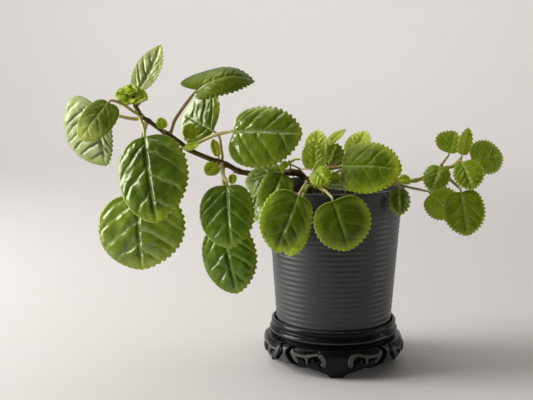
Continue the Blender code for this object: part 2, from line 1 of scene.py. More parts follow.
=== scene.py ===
"""Looks for the potted swedish ivy: ribbed pot, carved stand, soil, vines and foliage.

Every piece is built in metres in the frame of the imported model. Sizes are written in
millimetres and turned into metres by MM; POT_AXIS is where the pot's axis stands.
"""

import sys
import logging
import math
from dataclasses import dataclass, field, replace
from enum import Enum
from typing import Any

import bmesh
import bpy
import numpy as np
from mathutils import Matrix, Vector


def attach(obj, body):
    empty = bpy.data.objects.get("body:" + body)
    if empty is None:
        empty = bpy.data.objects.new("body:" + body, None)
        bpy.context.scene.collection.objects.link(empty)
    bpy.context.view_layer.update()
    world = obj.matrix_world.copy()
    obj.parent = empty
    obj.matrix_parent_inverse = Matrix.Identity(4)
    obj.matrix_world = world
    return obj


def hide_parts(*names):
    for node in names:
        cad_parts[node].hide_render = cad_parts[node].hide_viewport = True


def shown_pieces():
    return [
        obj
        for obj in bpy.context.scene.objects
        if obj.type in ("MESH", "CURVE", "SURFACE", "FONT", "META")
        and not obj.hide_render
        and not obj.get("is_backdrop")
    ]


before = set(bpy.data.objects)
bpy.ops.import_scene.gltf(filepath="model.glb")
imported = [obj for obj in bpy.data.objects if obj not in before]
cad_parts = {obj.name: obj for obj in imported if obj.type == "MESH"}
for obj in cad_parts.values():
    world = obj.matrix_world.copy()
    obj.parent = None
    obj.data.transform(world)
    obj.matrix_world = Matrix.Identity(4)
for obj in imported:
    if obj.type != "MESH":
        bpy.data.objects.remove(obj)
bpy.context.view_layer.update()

MM = 0.001
POT_AXIS = np.array((36.0, 0.5, 0.0))
BODY = "root"
LOG = logging.getLogger("ivy")
BELL_BASE = 0.3679  # 1/e: a bell's height at its half-width

Colour = tuple[float, float, float]
Point = tuple[float, float, float]


# --------------------------------------------
# Node trees
# --------------------------------------------
class Sig:
    """A node's output that can be used in an expression; each operator adds a Math node."""

    def __init__(self, net: "Net", socket: bpy.types.NodeSocket) -> None:
        """Keeps the tree's builder and the socket."""
        self.net = net
        self.socket = socket

    def __add__(self, other: Any) -> "Sig":
        """self + other."""
        return self.net.math("ADD", self, other)

    __radd__ = __add__

    def __sub__(self, other: Any) -> "Sig":
        """self - other."""
        return self.net.math("SUBTRACT", self, other)

    def __rsub__(self, other: Any) -> "Sig":
        """other - self."""
        return self.net.math("SUBTRACT", other, self)

    def __mul__(self, other: Any) -> "Sig":
        """self * other."""
        return self.net.math("MULTIPLY", self, other)

    __rmul__ = __mul__

    def __truediv__(self, other: Any) -> "Sig":
        """self / other."""
        return self.net.math("DIVIDE", self, other)

    def __pow__(self, other: Any) -> "Sig":
        """self to the power of other."""
        return self.net.math("POWER", self, other)

    def __rpow__(self, other: Any) -> "Sig":
        """other to the power of self."""
        return self.net.math("POWER", other, self)

    def __abs__(self) -> "Sig":
        """The size of self without its sign."""
        return self.net.math("ABSOLUTE", self)

    def bell(self, width: float) -> "Sig":
        """1 where self is 0, falling away as a bell of the given half-width."""
        return BELL_BASE ** ((self / width) ** 2.0)

    def at_most(self, other: Any) -> "Sig":
        """The smaller of self and other."""
        return self.net.math("MINIMUM", self, other)

    def at_least(self, other: Any) -> "Sig":
        """The larger of self and other."""
        return self.net.math("MAXIMUM", self, other)

    def ramp(self, low: float, high: float) -> "Sig":
        """0 below low, 1 above high, and smooth between."""
        return self.net.get("ShaderNodeMapRange", {"interpolation_type": "SMOOTHSTEP"},
                            {"Value": self, "From Min": low, "From Max": high})


class Net:
    """Builds one node tree, of a material or of Geometry Nodes."""

    def __init__(self, tree: bpy.types.NodeTree) -> None:
        """Keeps the tree."""
        self.tree = tree

    @staticmethod
    def pick(sockets: Any, key: str | int) -> bpy.types.NodeSocket:
        """Finds a socket.

        Args:
            sockets: A node's inputs or outputs.
            key: The socket's place, name or identifier.

        Returns:
            The socket in use that the key names.
        """
        if isinstance(key, int):
            return sockets[key]
        return next(s for s in sockets if key in (s.name, s.identifier)
                    and s.enabled and not s.is_unavailable)

    def node(self, kind: str, settings: dict[str, Any] | None = None,
             inputs: dict[str | int, Any] | None = None) -> bpy.types.Node:
        """Adds a node.

        Args:
            kind: The node's type.
            settings: Its own properties, set first.
            inputs: The value or link of each socket that isn't left alone.

        Returns:
            The new node.
        """
        made = self.tree.nodes.new(kind)
        for name, value in (settings or {}).items():
            setattr(made, name, value)
        for key, value in (inputs or {}).items():
            socket = self.pick(made.inputs, key)
            if isinstance(value, Sig):
                self.tree.links.new(value.socket, socket)
            elif isinstance(value, bpy.types.NodeSocket):
                self.tree.links.new(value, socket)
            elif isinstance(value, tuple) and socket.type == "RGBA":
                socket.default_value = (*value, 1.0)
            else:
                socket.default_value = value
        return made

    def get(self, kind: str, settings: dict[str, Any] | None = None,
            inputs: dict[str | int, Any] | None = None, out: str | int = 0) -> Sig:
        """Adds a node and gives one of its outputs, the first unless out names another."""
        return Sig(self, self.pick(self.node(kind, settings, inputs).outputs, out))

    def math(self, operation: str, *terms: Any) -> Sig:
        """Adds a Math node on the given terms."""
        return self.get("ShaderNodeMath", {"operation": operation}, dict(enumerate(terms)))

    def vector(self, operation: str, *terms: Any, out: str | int = 0) -> Sig:
        """Adds a Vector Math node on the given terms."""
        inputs = dict(enumerate(terms))
        if operation == "SCALE":
            inputs = {0: terms[0], "Scale": terms[1]}
        return self.get("ShaderNodeVectorMath", {"operation": operation}, inputs, out)

    def mix(self, factor: Any, first: Any, second: Any) -> Sig:
        """Adds a colour Mix node.

        Args:
            factor: How much of the second colour.
            first: The colour at factor 0.
            second: The colour at factor 1.

        Returns:
            The mixed colour.
        """
        return self.get("ShaderNodeMix",
                        {"data_type": "RGBA", "clamp_factor": True},
                        {"Factor_Float": factor, "A_Color": first, "B_Color": second},
                        "Result_Color")

    def noise(self, vector: Any, scale: float, detail: float = 3.0,
              roughness: float = 0.5) -> Sig:
        """Adds a Noise texture and gives its value."""
        return self.get("ShaderNodeTexNoise", None,
                        {"Vector": vector, "Scale": scale, "Detail": detail,
                         "Roughness": roughness}, "Fac")

    def attribute(self, name: str) -> Sig:
        """The value of a mesh attribute, in a material."""
        return self.get("ShaderNodeAttribute", {"attribute_name": name}, None, "Fac")

    def place(self) -> Sig:
        """Object coordinates, in a material."""
        return self.get("ShaderNodeTexCoord", None, None, "Object")


class Surface(Net):
    """The node tree of one material: a Principled shader, perhaps with a thin share of another."""

    def __init__(self, name: str) -> None:
        """Makes an empty material."""
        self.material = bpy.data.materials.new(name)
        self.material.use_nodes = True
        super().__init__(self.material.node_tree)
        self.tree.nodes.clear()

    def finish(self, inputs: dict[str, Any], constants: dict[str, Any],
               through: tuple[float, Colour] | None = None) -> bpy.types.Material:
        """Adds the shader and the output.

        Args:
            inputs: What varies over the surface: colour, roughness, normal.
            constants: Values that are the same all over.
            through: The share and colour of light let through a thin blade.

        Returns:
            The material.
        """
        shader = self.node("ShaderNodeBsdfPrincipled", None, {**constants, **inputs})
        last = shader.outputs[0]
        if through:
            thin = self.node("ShaderNodeBsdfTranslucent", None, {"Color": through[1]})
            last = self.node("ShaderNodeMixShader", None,
                             {0: through[0], 1: last, 2: thin.outputs[0]}).outputs[0]
        self.node("ShaderNodeOutputMaterial", None, {"Surface": last})
        return self.material

    def bump(self, height: Any, strength: float, distance: float) -> Sig:
        """Adds a Bump node over a height in units of distance (metres)."""
        return self.get("ShaderNodeBump", None,
                        {"Height": height, "Strength": strength, "Distance": distance})


class Recipe(Net):
    """A Geometry Nodes tree with named inputs, used as a modifier and then made plain mesh."""

    def __init__(self, name: str, inputs: dict[str, float]) -> None:
        """Makes the tree with a geometry input, the named values and a material."""
        tree = bpy.data.node_groups.new(name, "GeometryNodeTree")
        super().__init__(tree)
        face = tree.interface
        face.new_socket("Geometry", in_out="OUTPUT", socket_type="NodeSocketGeometry")
        self.sockets = {"Geometry": face.new_socket("Geometry", in_out="INPUT",
                                                    socket_type="NodeSocketGeometry")}
        for label, value in inputs.items():
            kind = "NodeSocketInt" if isinstance(value, int) else "NodeSocketFloat"
            self.sockets[label] = face.new_socket(label, in_out="INPUT", socket_type=kind)
            self.sockets[label].default_value = value
        self.sockets["Material"] = face.new_socket("Material", in_out="INPUT",
                                                   socket_type="NodeSocketMaterial")
        self.given = tree.nodes.new("NodeGroupInput")

    def __getitem__(self, label: str) -> Sig:
        """The value of a named input."""
        return Sig(self, self.pick(self.given.outputs, label))

    def named(self, name: str, kind: str = "FLOAT") -> Sig:
        """A stored attribute of the geometry."""
        return self.get("GeometryNodeInputNamedAttribute", {"data_type": kind},
                        {"Name": name}, "Attribute")

    def store(self, geometry: Any, name: str, value: Any) -> Sig:
        """Stores a value on the geometry's points under a name."""
        return self.get("GeometryNodeStoreNamedAttribute",
                        {"data_type": "FLOAT", "domain": "POINT"},
                        {"Geometry": geometry, "Name": name, "Value": value})

    def moved(self, geometry: Any, offset: Any) -> Sig:
        """The geometry with its points moved."""
        return self.get("GeometryNodeSetPosition", None,
                        {"Geometry": geometry, "Offset": offset})

    def close(self, geometry: Any) -> None:
        """Ends the tree: smooth shading, realised instances and the material."""
        smooth = self.get("GeometryNodeSetShadeSmooth", None, {0: geometry})
        real = self.get("GeometryNodeRealizeInstances", None, {"Geometry": smooth})
        done = self.get("GeometryNodeSetMaterial", None,
                        {"Geometry": real, "Material": self["Material"]})
        self.node("NodeGroupOutput", None, {0: done})

    def apply(self, obj: bpy.types.Object, material: bpy.types.Material,
              **values: float) -> bpy.types.Object:
        """Runs the tree on an object and keeps the result as a plain mesh.

        Args:
            obj: The base object; its modifiers are used up.
            material: The finish that the tree sets.
            **values: Input values, with spaces in their names written as underscores.

        Returns:
            An object of the same name that holds the finished mesh.
        """
        step = obj.modifiers.new(self.tree.name, "NODES")
        step.node_group = self.tree
        step[self.sockets["Material"].identifier] = material
        for key, value in values.items():
            step[self.sockets[key.replace("_", " ")].identifier] = value
        return plain(obj)


def plain(obj: bpy.types.Object) -> bpy.types.Object:
    """Replaces an object by one with its evaluated mesh and no modifiers.

    Args:
        obj: A mesh or curve object, linked to the scene.

    Returns:
        The new object, which has the old one's name.
    """
    bpy.context.view_layer.update()
    graph = bpy.context.evaluated_depsgraph_get()
    mesh = bpy.data.meshes.new_from_object(obj.evaluated_get(graph), depsgraph=graph)
    name = obj.name
    bpy.data.objects.remove(obj, do_unlink=True)
    mesh.name = name
    made = bpy.data.objects.new(name, mesh)
    bpy.context.scene.collection.objects.link(made)
    return made


def mesh_piece(name: str, points: np.ndarray, faces: list[tuple[int, ...]],
               attributes: dict[str, np.ndarray] | None = None) -> bpy.types.Object:
    """Makes a mesh object.

    Args:
        name: The object's name.
        points: Points in millimetres from the pot's axis.
        faces: Corner numbers of each face, anticlockwise from outside.
        attributes: Values or vectors to store on the points.

    Returns:
        The object, linked to the scene.
    """
    mesh = bpy.data.meshes.new(name)
    mesh.from_pydata(((points + POT_AXIS) * MM).tolist(), [], faces)
    for key, values in (attributes or {}).items():
        vector = values.ndim == 2
        layer = mesh.attributes.new(key, "FLOAT_VECTOR" if vector else "FLOAT", "POINT")
        layer.data.foreach_set("vector" if vector else "value",
                               np.ascontiguousarray(values, np.float32).ravel())
    mesh.shade_smooth()
    obj = bpy.data.objects.new(name, mesh)
    bpy.context.scene.collection.objects.link(obj)
    return obj


def hand_over(obj: bpy.types.Object, slot: str, *nodes: str) -> None:
    """Rides a finished piece on the body, in place of the CAD nodes it stands for."""
    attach(obj, BODY)
    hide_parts(*nodes)
    LOG.info("%s: %d faces for %s", obj.name, len(obj.data.polygons), ", ".join(nodes))


def strip_faces(rows: int, ring: int, closed: bool = True) -> list[tuple[int, ...]]:
    """Quads between consecutive rings of points."""
    last = ring if closed else ring - 1
    return [(r * ring + i, (r + 1) * ring + i, (r + 1) * ring + (i + 1) % ring,
             r * ring + (i + 1) % ring)
            for r in range(rows - 1) for i in range(last)]


def smooth_path(points: Any, per_span: int) -> np.ndarray:
    """Points along a Catmull-Rom curve through the given ones."""
    p = np.asarray(points, float)
    p = np.vstack([2 * p[0] - p[1], p, 2 * p[-1] - p[-2]])
    out = []
    for i in range(1, len(p) - 2):
        for t in np.arange(per_span) / per_span:
            out.append(0.5 * (2 * p[i] + (p[i + 1] - p[i - 1]) * t
                              + (2 * p[i - 1] - 5 * p[i] + 4 * p[i + 1] - p[i + 2]) * t ** 2
                              + (3 * p[i] - p[i - 1] - 3 * p[i + 1] + p[i + 2]) * t ** 3))
    out.append(p[-2])
    return np.array(out)


def even_path(points: Any, count: int) -> np.ndarray:
    """The same curve, as points the same distance apart."""
    fine = smooth_path(points, 12)
    run = np.concatenate([[0.0], np.cumsum(np.linalg.norm(np.diff(fine, axis=0), axis=1))])
    at = np.linspace(0.0, run[-1], count)
    return np.stack([np.interp(at, run, fine[:, k]) for k in range(3)], axis=1)


def unit(v: Any) -> np.ndarray:
    """The vector, or each row of vectors, at length 1."""
    v = np.asarray(v, float)
    return v / np.maximum(np.linalg.norm(v, axis=-1, keepdims=True), 1e-12)


def ease(x: Any, low: float, high: float) -> np.ndarray:
    """0 below low, 1 above high, and smooth between."""
    t = np.clip((np.asarray(x, float) - low) / (high - low), 0.0, 1.0)
    return t * t * (3 - 2 * t)


def lathe(profile: Any, steps: int) -> tuple[np.ndarray, list[tuple[int, ...]], np.ndarray]:
    """Turns a profile round the pot's axis.

    Args:
        profile: Radius and height of each point, starting and ending on the axis.
        steps: How many points go round.

    Returns:
        The points, the faces and each point's place in the profile.
    """
    profile = np.asarray(profile, float)
    turn = np.arange(steps) * 2 * math.pi / steps
    rings = profile[1:-1]
    points = np.stack([rings[:, :1] * np.cos(turn), rings[:, :1] * np.sin(turn),
                       np.repeat(rings[:, 1:], steps, axis=1)], axis=2).reshape(-1, 3)
    points = np.vstack([points, (0, 0, profile[0, 1]), (0, 0, profile[-1, 1])])
    first, last = len(points) - 2, len(points) - 1
    faces = strip_faces(len(rings), steps)
    end = (len(rings) - 1) * steps
    faces += [(first, i, (i + 1) % steps) for i in range(steps)]
    faces += [(last, end + (i + 1) % steps, end + i) for i in range(steps)]
    place = np.concatenate([np.repeat(np.arange(1, len(profile) - 1), steps),
                            [0, len(profile) - 1]])
    return points, faces, place


def outward(points: np.ndarray, faces: list[tuple[int, ...]]) -> list[tuple[int, ...]]:
    """The faces of a closed mesh, turned over if they point inwards."""
    centred = points - points.mean(axis=0)
    volume = 0.0
    for size in (3, 4):
        corners = centred[np.array([f for f in faces if len(f) == size] or [(0,) * size])]
        for k in range(1, size - 1):
            volume += float((corners[:, 0] * np.cross(corners[:, k],
                                                      corners[:, k + 1])).sum())
    return faces if volume > 0 else [face[::-1] for face in faces]


def rounded(points: Any, rounds: int = 2) -> np.ndarray:
    """An open outline with its corners cut back a quarter each time, its ends kept."""
    p = np.asarray(points, float)
    for _ in range(rounds):
        low = p[:-1] * 0.75 + p[1:] * 0.25
        high = p[:-1] * 0.25 + p[1:] * 0.75
        inner = np.stack([low, high], axis=1).reshape(-1, p.shape[1])
        p = np.vstack([p[:1], inner, p[-1:]])
    return p


# --------------------------------------------
# Foliage
# --------------------------------------------
@dataclass(frozen=True)
class Stem:
    """A vine's axis from its end in the soil to its tip, and its radius at the two ends (mm)."""

    name: str
    points: tuple[Point, ...]
    radii: tuple[float, float]

    def path(self) -> tuple[np.ndarray, np.ndarray]:
        """The axis as even points, and the radius at each."""
        points = np.asarray(self.points, float)
        run = np.linalg.norm(np.diff(points, axis=0), axis=1).sum()
        count = max(6, int(run / 6.5))
        return even_path(points, count), np.linspace(*self.radii, count)


@dataclass(frozen=True)
class Leaf:
    """One leaf (mm): it grows from its stem's axis near root, through via, to the blade's base.

    face is the way the upper side looks; left and right are the half-widths seen from above,
    bow the arch along the midrib, cup the rise of the margins as a share of the half-width,
    lobe how far the margins reach back past the base, and taper draws the tip to a point.
    """

    name: str
    stem: str
    root: Point | None
    via: tuple[Point, ...]
    base: Point
    tip: Point
    face: Point
    left: float
    right: float
    bow: float
    cup: float
    lobe: float
    taper: float = 0.0

    def axes(self) -> tuple[np.ndarray, np.ndarray, np.ndarray, float]:
        """The directions across, along and up from the upper side, and the length."""
        run = np.asarray(self.tip, float) - np.asarray(self.base, float)
        length = float(np.linalg.norm(run))
        along = run / length
        up = np.asarray(self.face, float)
        up = unit(up - np.dot(up, along) * along)
        return np.cross(along, up), along, up, length


# Each stem's axis, from its end in the soil to its tip, and its radius at the two ends.
STEMS = (
    Stem("stem_left", ((-19, -8, 118), (-19, -8, 127), (-20.5, -10, 135.5), (-23.5, -10, 142),
                       (-29, -10, 144.5), (-38, -8, 144), (-54, -6, 142.5), (-70, -5, 144),
                       (-79.5, -6, 149), (-89, -8, 152.5), (-100, -9, 157), (-108, -10, 161),
                       (-118, -12, 169), (-127.5, -13, 175), (-136, -14, 181.5),
                       (-143, -15, 186.5), (-145.5, -15, 191.5), (-147.5, -15, 198.3)), (2.1, 1.2)),
    Stem("stem_right", ((9, 2, 118), (9, 2, 124), (9.3, 2, 130), (15, 2, 136), (28, 1, 138),
                        (44, 0, 138), (57, -2, 138), (66, -3, 141), (73.5, -4, 145),
                        (79, -4, 147.5), (87.5, -4, 150), (92, -4, 154.5)), (1.5, 1.0)),
    Stem("stem_front", ((-14, -14, 118), (-14, -14, 127), (-14, -16, 134), (-14, -18, 140),
                        (-15, -20, 144)), (1.7, 1.2)),
    Stem("stem_back", ((-8, 3, 118), (-8, 3, 127), (-7, 5, 136), (-5, 8, 145),
                       (-4, 10, 151)), (1.7, 1.2)),
)

LEAVES = (
    Leaf("leaf_left_01", "stem_left", (-142, -15, 186), ((-139, -24, 178.5),),
         (-137, -30, 172), (-125.5, -50, 112.5), (-0.15, -1, 0.3), 29, 24, 3, -0.12, 0.05),
    Leaf("leaf_left_02", "stem_left", (-137.5, -14, 182), ((-145.5, -3, 159.5),),
         (-149.5, 2, 124), (-145.5, -8, 68.5), (-0.1, -1, 0.15), 36, 33.5, 3, -0.1, 0.1),
    Leaf("leaf_left_03", "stem_left", (-143.5, -15, 185), ((-155, -16, 185), (-167.5, -9, 188.5)),
         (-173.5, -20, 194), (-168.5, -18, 149), (-0.3, -1, 0.1), 10, 31.5, 2, -0.1, 0.38),
    Leaf("leaf_left_04", "stem_left", (-145, -15, 189), ((-153.5, -28, 195.5),),
         (-160.5, -38, 197), (-179, -50, 171), (-0.12, -0.95, 0.3), 14.5, 11, 2, -0.1, 0.12),
    Leaf("leaf_left_05", "stem_left", (-145, -15, 194.5), ((-143, -11, 199),),
         (-145, -9, 204.5), (-130, 4, 238), (-0.2, -1, 0.4), 12.5, 9, -2, 0.1, 0.05, 0.42),
    Leaf("leaf_left_06", "stem_left", (-122.5, -12.5, 172.5), ((-118, -10, 183), (-111, -7, 193.5)),
         (-102, -5, 203.5), (-60, 4, 211), (-0.25, -0.72, 0.66), 18.5, 13.5, 10, -0.42, 0.5, 0.2),
    Leaf("leaf_left_07", "stem_left", (-84, -7, 152), ((-84.5, -5, 161), (-86, -3, 169)),
         (-91, -2, 174), (-115.5, 14, 186), (-0.3, -0.92, 0.2), 17.5, 26, 1, 0.1, 0.02),
    Leaf("leaf_left_08", "stem_left", (-107, -10, 160.5), ((-90, -18, 171.5),),
         (-73.5, -24, 176), (-23, -34, 175), (-0.1, -0.9, 0.42), 20, 27.5, 3, -0.1, 0.15),
    Leaf("leaf_left_09", "stem_left", (-84, -7, 150.5), ((-81.5, -22, 144.5),),
         (-77.5, -32, 137.5), (-73, -46, 94), (-0.1, -1, 0.2), 19.5, 21.5, 4, -0.15, 0.08),
    Leaf("leaf_left_10", "stem_left", (-81.5, -7, 150), ((-83, -3, 130),),
         (-84.5, -3, 103), (-72.5, -11, 52), (-0.1, -1, 0.1), 22, 20.5, 3, -0.12, 0.05),
    Leaf("leaf_crown_01", "stem_left", (-37.5, -8, 144), (),
         (-39, -23, 146.5), (-66, -15, 137.5), (-0.1, -0.75, 0.65), 16, 12, 2, -0.1, 0.05),
    Leaf("leaf_crown_02", "stem_left", (-33, -9, 144.5), ((-34, -22, 147),),
         (-37, -34, 146.5), (-48.5, -42, 118.5), (-0.25, -0.95, 0.1), 13, 13, 2, -0.1, 0.05),
    Leaf("leaf_crown_03", "stem_left", (-46.5, -7, 143), (),
         (-53.5, -14, 138.5), (-59, -18, 108.5), (-0.75, -0.65, 0.1), 11, 11, 2, -0.1, 0.05),
    Leaf("leaf_crown_04", "stem_front", (-15, -20, 143.5), (),
         (-15, -19, 148.5), (-15.5, -18, 169), (-0.4, -0.85, 0.2), 11, 11, -2, 0.1, 0.1),
    Leaf("leaf_crown_05", "stem_back", (-9.5, 8, 144.5), (),
         (-14, -3, 153), (-13, 1, 175.5), (-0.5, -0.75, 0.4), 11, 10.5, 0, 0.1, 0.1),
    Leaf("leaf_crown_06", "stem_back", (-8.5, 9, 148), (),
         (-6, 4, 163.5), (8, 8, 175.5), (-0.5, -0.6, 0.6), 5.5, 5.5, 1, 0, 0.05, 0.5),
    Leaf("leaf_crown_07", "stem_front", (-15, -20, 145), (),
         (-13.5, -38, 150.5), (-3.5, -45, 140), (-0.2, -1, 0.3), 8, 10, 2, -0.2, 0.1),
    Leaf("leaf_crown_08", "stem_front", (-14.5, -18, 141.5), ((-5, -26, 149.5),),
         (5, -32, 152), (47, -40, 150.5), (0.05, -0.8, 0.6), 21.5, 22, 3, -0.08, 0.08),
    Leaf("leaf_crown_09", "stem_back", (-9, 8, 146), ((2, 3, 150),),
         (12.5, 3, 155.5), (23, 10, 174), (-0.5, -0.7, 0.5), 11.5, 11, 0, 0.1, 0.08),
    Leaf("leaf_crown_10", "stem_back", (-7.5, 10, 147), (),
         (-4, 14, 147.5), (2, 20, 163.5), (0.2, 0.9, 0.3), 10, 10, 2, 0, 0.08),
    Leaf("leaf_crown_11", "stem_back", (-11, 0, 130), (),
         (-5.5, -8, 134.5), (20, -14, 132), (0, -0.3, 0.95), 9, 9, 2, 0, 0.05),
    Leaf("leaf_crown_12", "stem_front", (-16.5, -15, 134), ((-8.5, -17, 136),),
         (-2, -14.5, 137.5), (1, -11, 146), (0, -1, 0.2), 5, 5, 1, 0, 0.05),
    Leaf("leaf_crown_13", "stem_left", (-21, -10, 138), ((-20.5, -36, 139.5),),
         (-24.5, -60, 135), (-40, -64, 95.5), (-0.1, -1, 0.1), 16, 21, 2, -0.1, 0.1),
    Leaf("leaf_crown_14", "stem_front", (-14, -16, 136), ((-18, -39, 139), (-20, -51.5, 138)),
         (-24.5, -53.5, 126.5), (-31.5, -54, 90.5), (-0.3, -1, 0), 12, 12, 1, -0.05, 0.08),
    Leaf("leaf_crown_15", "stem_front", (-17.5, -12, 129.5),
         ((-11.5, -27, 135), (-9, -40, 136), (-6.5, -51, 137)),
         (-1, -60, 131.5), (10.5, -64, 97.5), (0.05, -1, 0.15), 22, 18.5, 2, -0.08, 0.1),
    Leaf("leaf_crown_16", "stem_left", (-27, -10, 144), (),
         (-33.5, -10, 152.5), (-25, -10, 154.5), (-0.1, -0.1, 1), 3, 3, 1, 0, 0.05),
    Leaf("leaf_crown_17", "stem_left", (-31.5, -9.5, 144.5), (),
         (-33.5, -31, 154.5), (-39, -34, 149), (-0.2, -1, 0.2), 3, 3.5, 1, 0, 0.05),
    Leaf("leaf_right_01", "stem_right", (24, 1, 137.5), ((34, -24, 139),),
         (45.5, -33, 136.5), (46.5, -36, 117.5), (0.45, -0.85, 0.1), 9.5, 9.5, 1, -0.1, 0.05),
    Leaf("leaf_right_02", "stem_right", (60, -2, 138), (),
         (55.5, -8, 139), (45.5, -10, 139.5), (0, -0.7, 0.7), 5, 5, 1, 0, 0.05),
    Leaf("leaf_right_03", "stem_right", (79, -4, 148), (),
         (76, -14, 150.5), (69, -24, 133), (-0.2, -1, 0.3), 10.5, 10, 2, -0.15, 0.08),
    Leaf("leaf_right_04", "stem_right", (79.5, -4, 148), (),
         (84, 2, 158.5), (88.5, 9, 174.5), (0.1, -1, 0.3), 13, 8, 0, 0.05, 0.05),
    Leaf("leaf_right_05", "stem_right", (92, -4, 155), (),
         (92.5, -7, 158), (96.5, -6, 178), (0.35, -0.9, 0.2), 6.2, 6.2, 0, 0.05, 0.05),
    Leaf("leaf_right_06", "stem_right", (90, -4, 152), ((96.5, 2, 152),),
         (101, 5, 153), (126, 16, 154.5), (-0.3, -0.95, 0.3), 15, 13, 1, 0, 0.08),
    Leaf("leaf_right_07", "stem_right", (88.5, -4, 150.5), (),
         (91.5, -14, 153.5), (98.5, -26, 135), (-0.1, -1, 0.4), 13, 10, 1, -0.1, 0.08),
    Leaf("leaf_right_08", "stem_right", (34, 1, 138), ((43, -18, 139), (50, -24, 137)),
         (70.5, -6, 129), (90, 4, 111), (-0.3, -1, 0.2), 14, 13, 1, 0, 0.08),
    Leaf("leaf_right_09", "stem_right", (81.5, -4, 147.5), ((83.5, -13, 141),),
         (90, -24, 133.5), (94.5, -34, 103), (-0.05, -1, 0.2), 15.5, 15, 1, -0.05, 0.1),
    Leaf("bud_leaf_01", "stem_left", (-124.5, -13, 175), (),
         (-125.5, -19, 177), (-127, -22, 185.5), (0, -1, 0.3), 4.5, 4.5, 0, 0, 0.05),
    Leaf("bud_leaf_02", "stem_left", (-110, -10.5, 163), (),
         (-108, -8, 168.5), (-106.5, -8, 180.5), (0, -1, 0.2), 6, 6, 0, 0, 0.05),
    Leaf("bud_leaf_03", "stem_left", (-108.5, -10, 161.5), (),
         (-110, -17, 163.5), (-99, -20, 166), (0, -0.9, 0.4), 3, 4, 0, 0, 0.05),
    Leaf("bud_leaf_04", "stem_left", (-87, -7, 151.5), (),
         (-87, -16, 151.5), (-93.5, -24, 144), (0, -1, 0.3), 6.5, 6, 0, 0, 0.05),
    Leaf("bud_leaf_05", "stem_left", (-87, -7, 152), (),
         (-87, -4, 155.5), (-91.5, 0, 168), (-0.1, -1, 0.2), 4, 4, 0, 0, 0.05),
    Leaf("bud_leaf_06", "stem_left", (-72, -5, 144.5), (),
         (-75, -11, 143), (-76, -14, 135.5), (0, -1, 0.2), 3.5, 3.5, 0, 0, 0.05),
    Leaf("leaf_back_01", "stem_back", (-6, 4, 137), ((3, 34, 140.5), (15, 50, 138.5)),
         (20, 56, 128), (26, 61, 92), (0.3, 1, 0.1), 17, 17, 2, -0.1, 0.05),
    Leaf("leaf_back_02", "stem_back", (-6, 6, 141), ((-10, 34, 144),),
         (-12, 57, 131), (-18, 62, 98), (-0.1, 1, 0.1), 18, 18, 2, -0.1, 0.05),
    Leaf("leaf_back_03", "stem_back", (-8.5, 4, 139), ((-20, 26, 143), (-31, 44, 138.5)),
         (-34, 48, 130), (-36, 52, 106), (-0.5, 0.85, 0.1), 12, 12, 2, -0.1, 0.05),
    Leaf("leaf_back_04", "stem_back", (-6, 7, 139), ((14, 11, 144),),
         (28, 30, 150), (38, 44, 139), (0.4, 0.5, 0.75), 11, 11, 1, 0, 0.05),
    Leaf("leaf_back_05", "stem_back", (-5, 8, 145), ((0, 20, 144),),
         (12, 29, 146), (18, 46, 144), (0, 0.3, 0.95), 12, 12, 1, 0, 0.05),
)

# The young rosette at the left stem's tip: (way it points, way it faces, length, half-width).
ROSETTE_CENTRE = (-148.6, -15.6, 199.6)
ROSETTE = (
    ((-1.0, -0.2, 0.1), (-0.3, -0.7, 0.7), 11.0, 5.5),
    ((-0.8, -0.5, -0.5), (-0.4, -0.8, 0.3), 10.0, 5.0),
    ((-0.2, -0.8, -0.6), (-0.1, -0.8, 0.6), 8.0, 5.0),
    ((-0.7, -0.2, 0.9), (-0.5, -0.7, 0.2), 9.0, 5.0),
    ((0.1, -0.1, 1.0), (-0.2, -0.9, 0.1), 8.5, 5.0),
    ((0.8, -0.1, 0.6), (0.1, -0.9, 0.3), 8.0, 4.5),
    ((1.0, -0.3, -0.1), (0.1, -0.8, 0.5), 11.0, 5.5),
    ((0.5, -0.6, -0.6), (0.1, -0.9, 0.3), 7.0, 4.5),
    ((-0.1, -1.0, 0.3), (-0.1, -0.4, 0.9), 6.5, 4.0),
    ((-0.5, 0.8, 0.3), (-0.2, -0.4, 0.9), 9.0, 4.5),
)

# How far a blade's rows sweep towards the tip at its margins, and where it is widest, both as
# shares of its length.
SWEEP = 0.35
WIDEST = 0.44


def outline(share: np.ndarray, taper: float) -> np.ndarray:
    """A blade's half-width at a share of its length, as a share of its widest."""
    share = np.clip(share, 0.0, 1.0)
    low = (1 - (np.maximum(WIDEST - share, 0.0) / WIDEST) ** 2.4) ** 0.526
    past = np.maximum(share - WIDEST, 0.0) / (1 - WIDEST)
    high = np.maximum(1 - past ** (2.1 - 0.6 * taper), 0.0)
    return np.where(share < WIDEST, low, high ** (0.62 + 0.5 * taper))


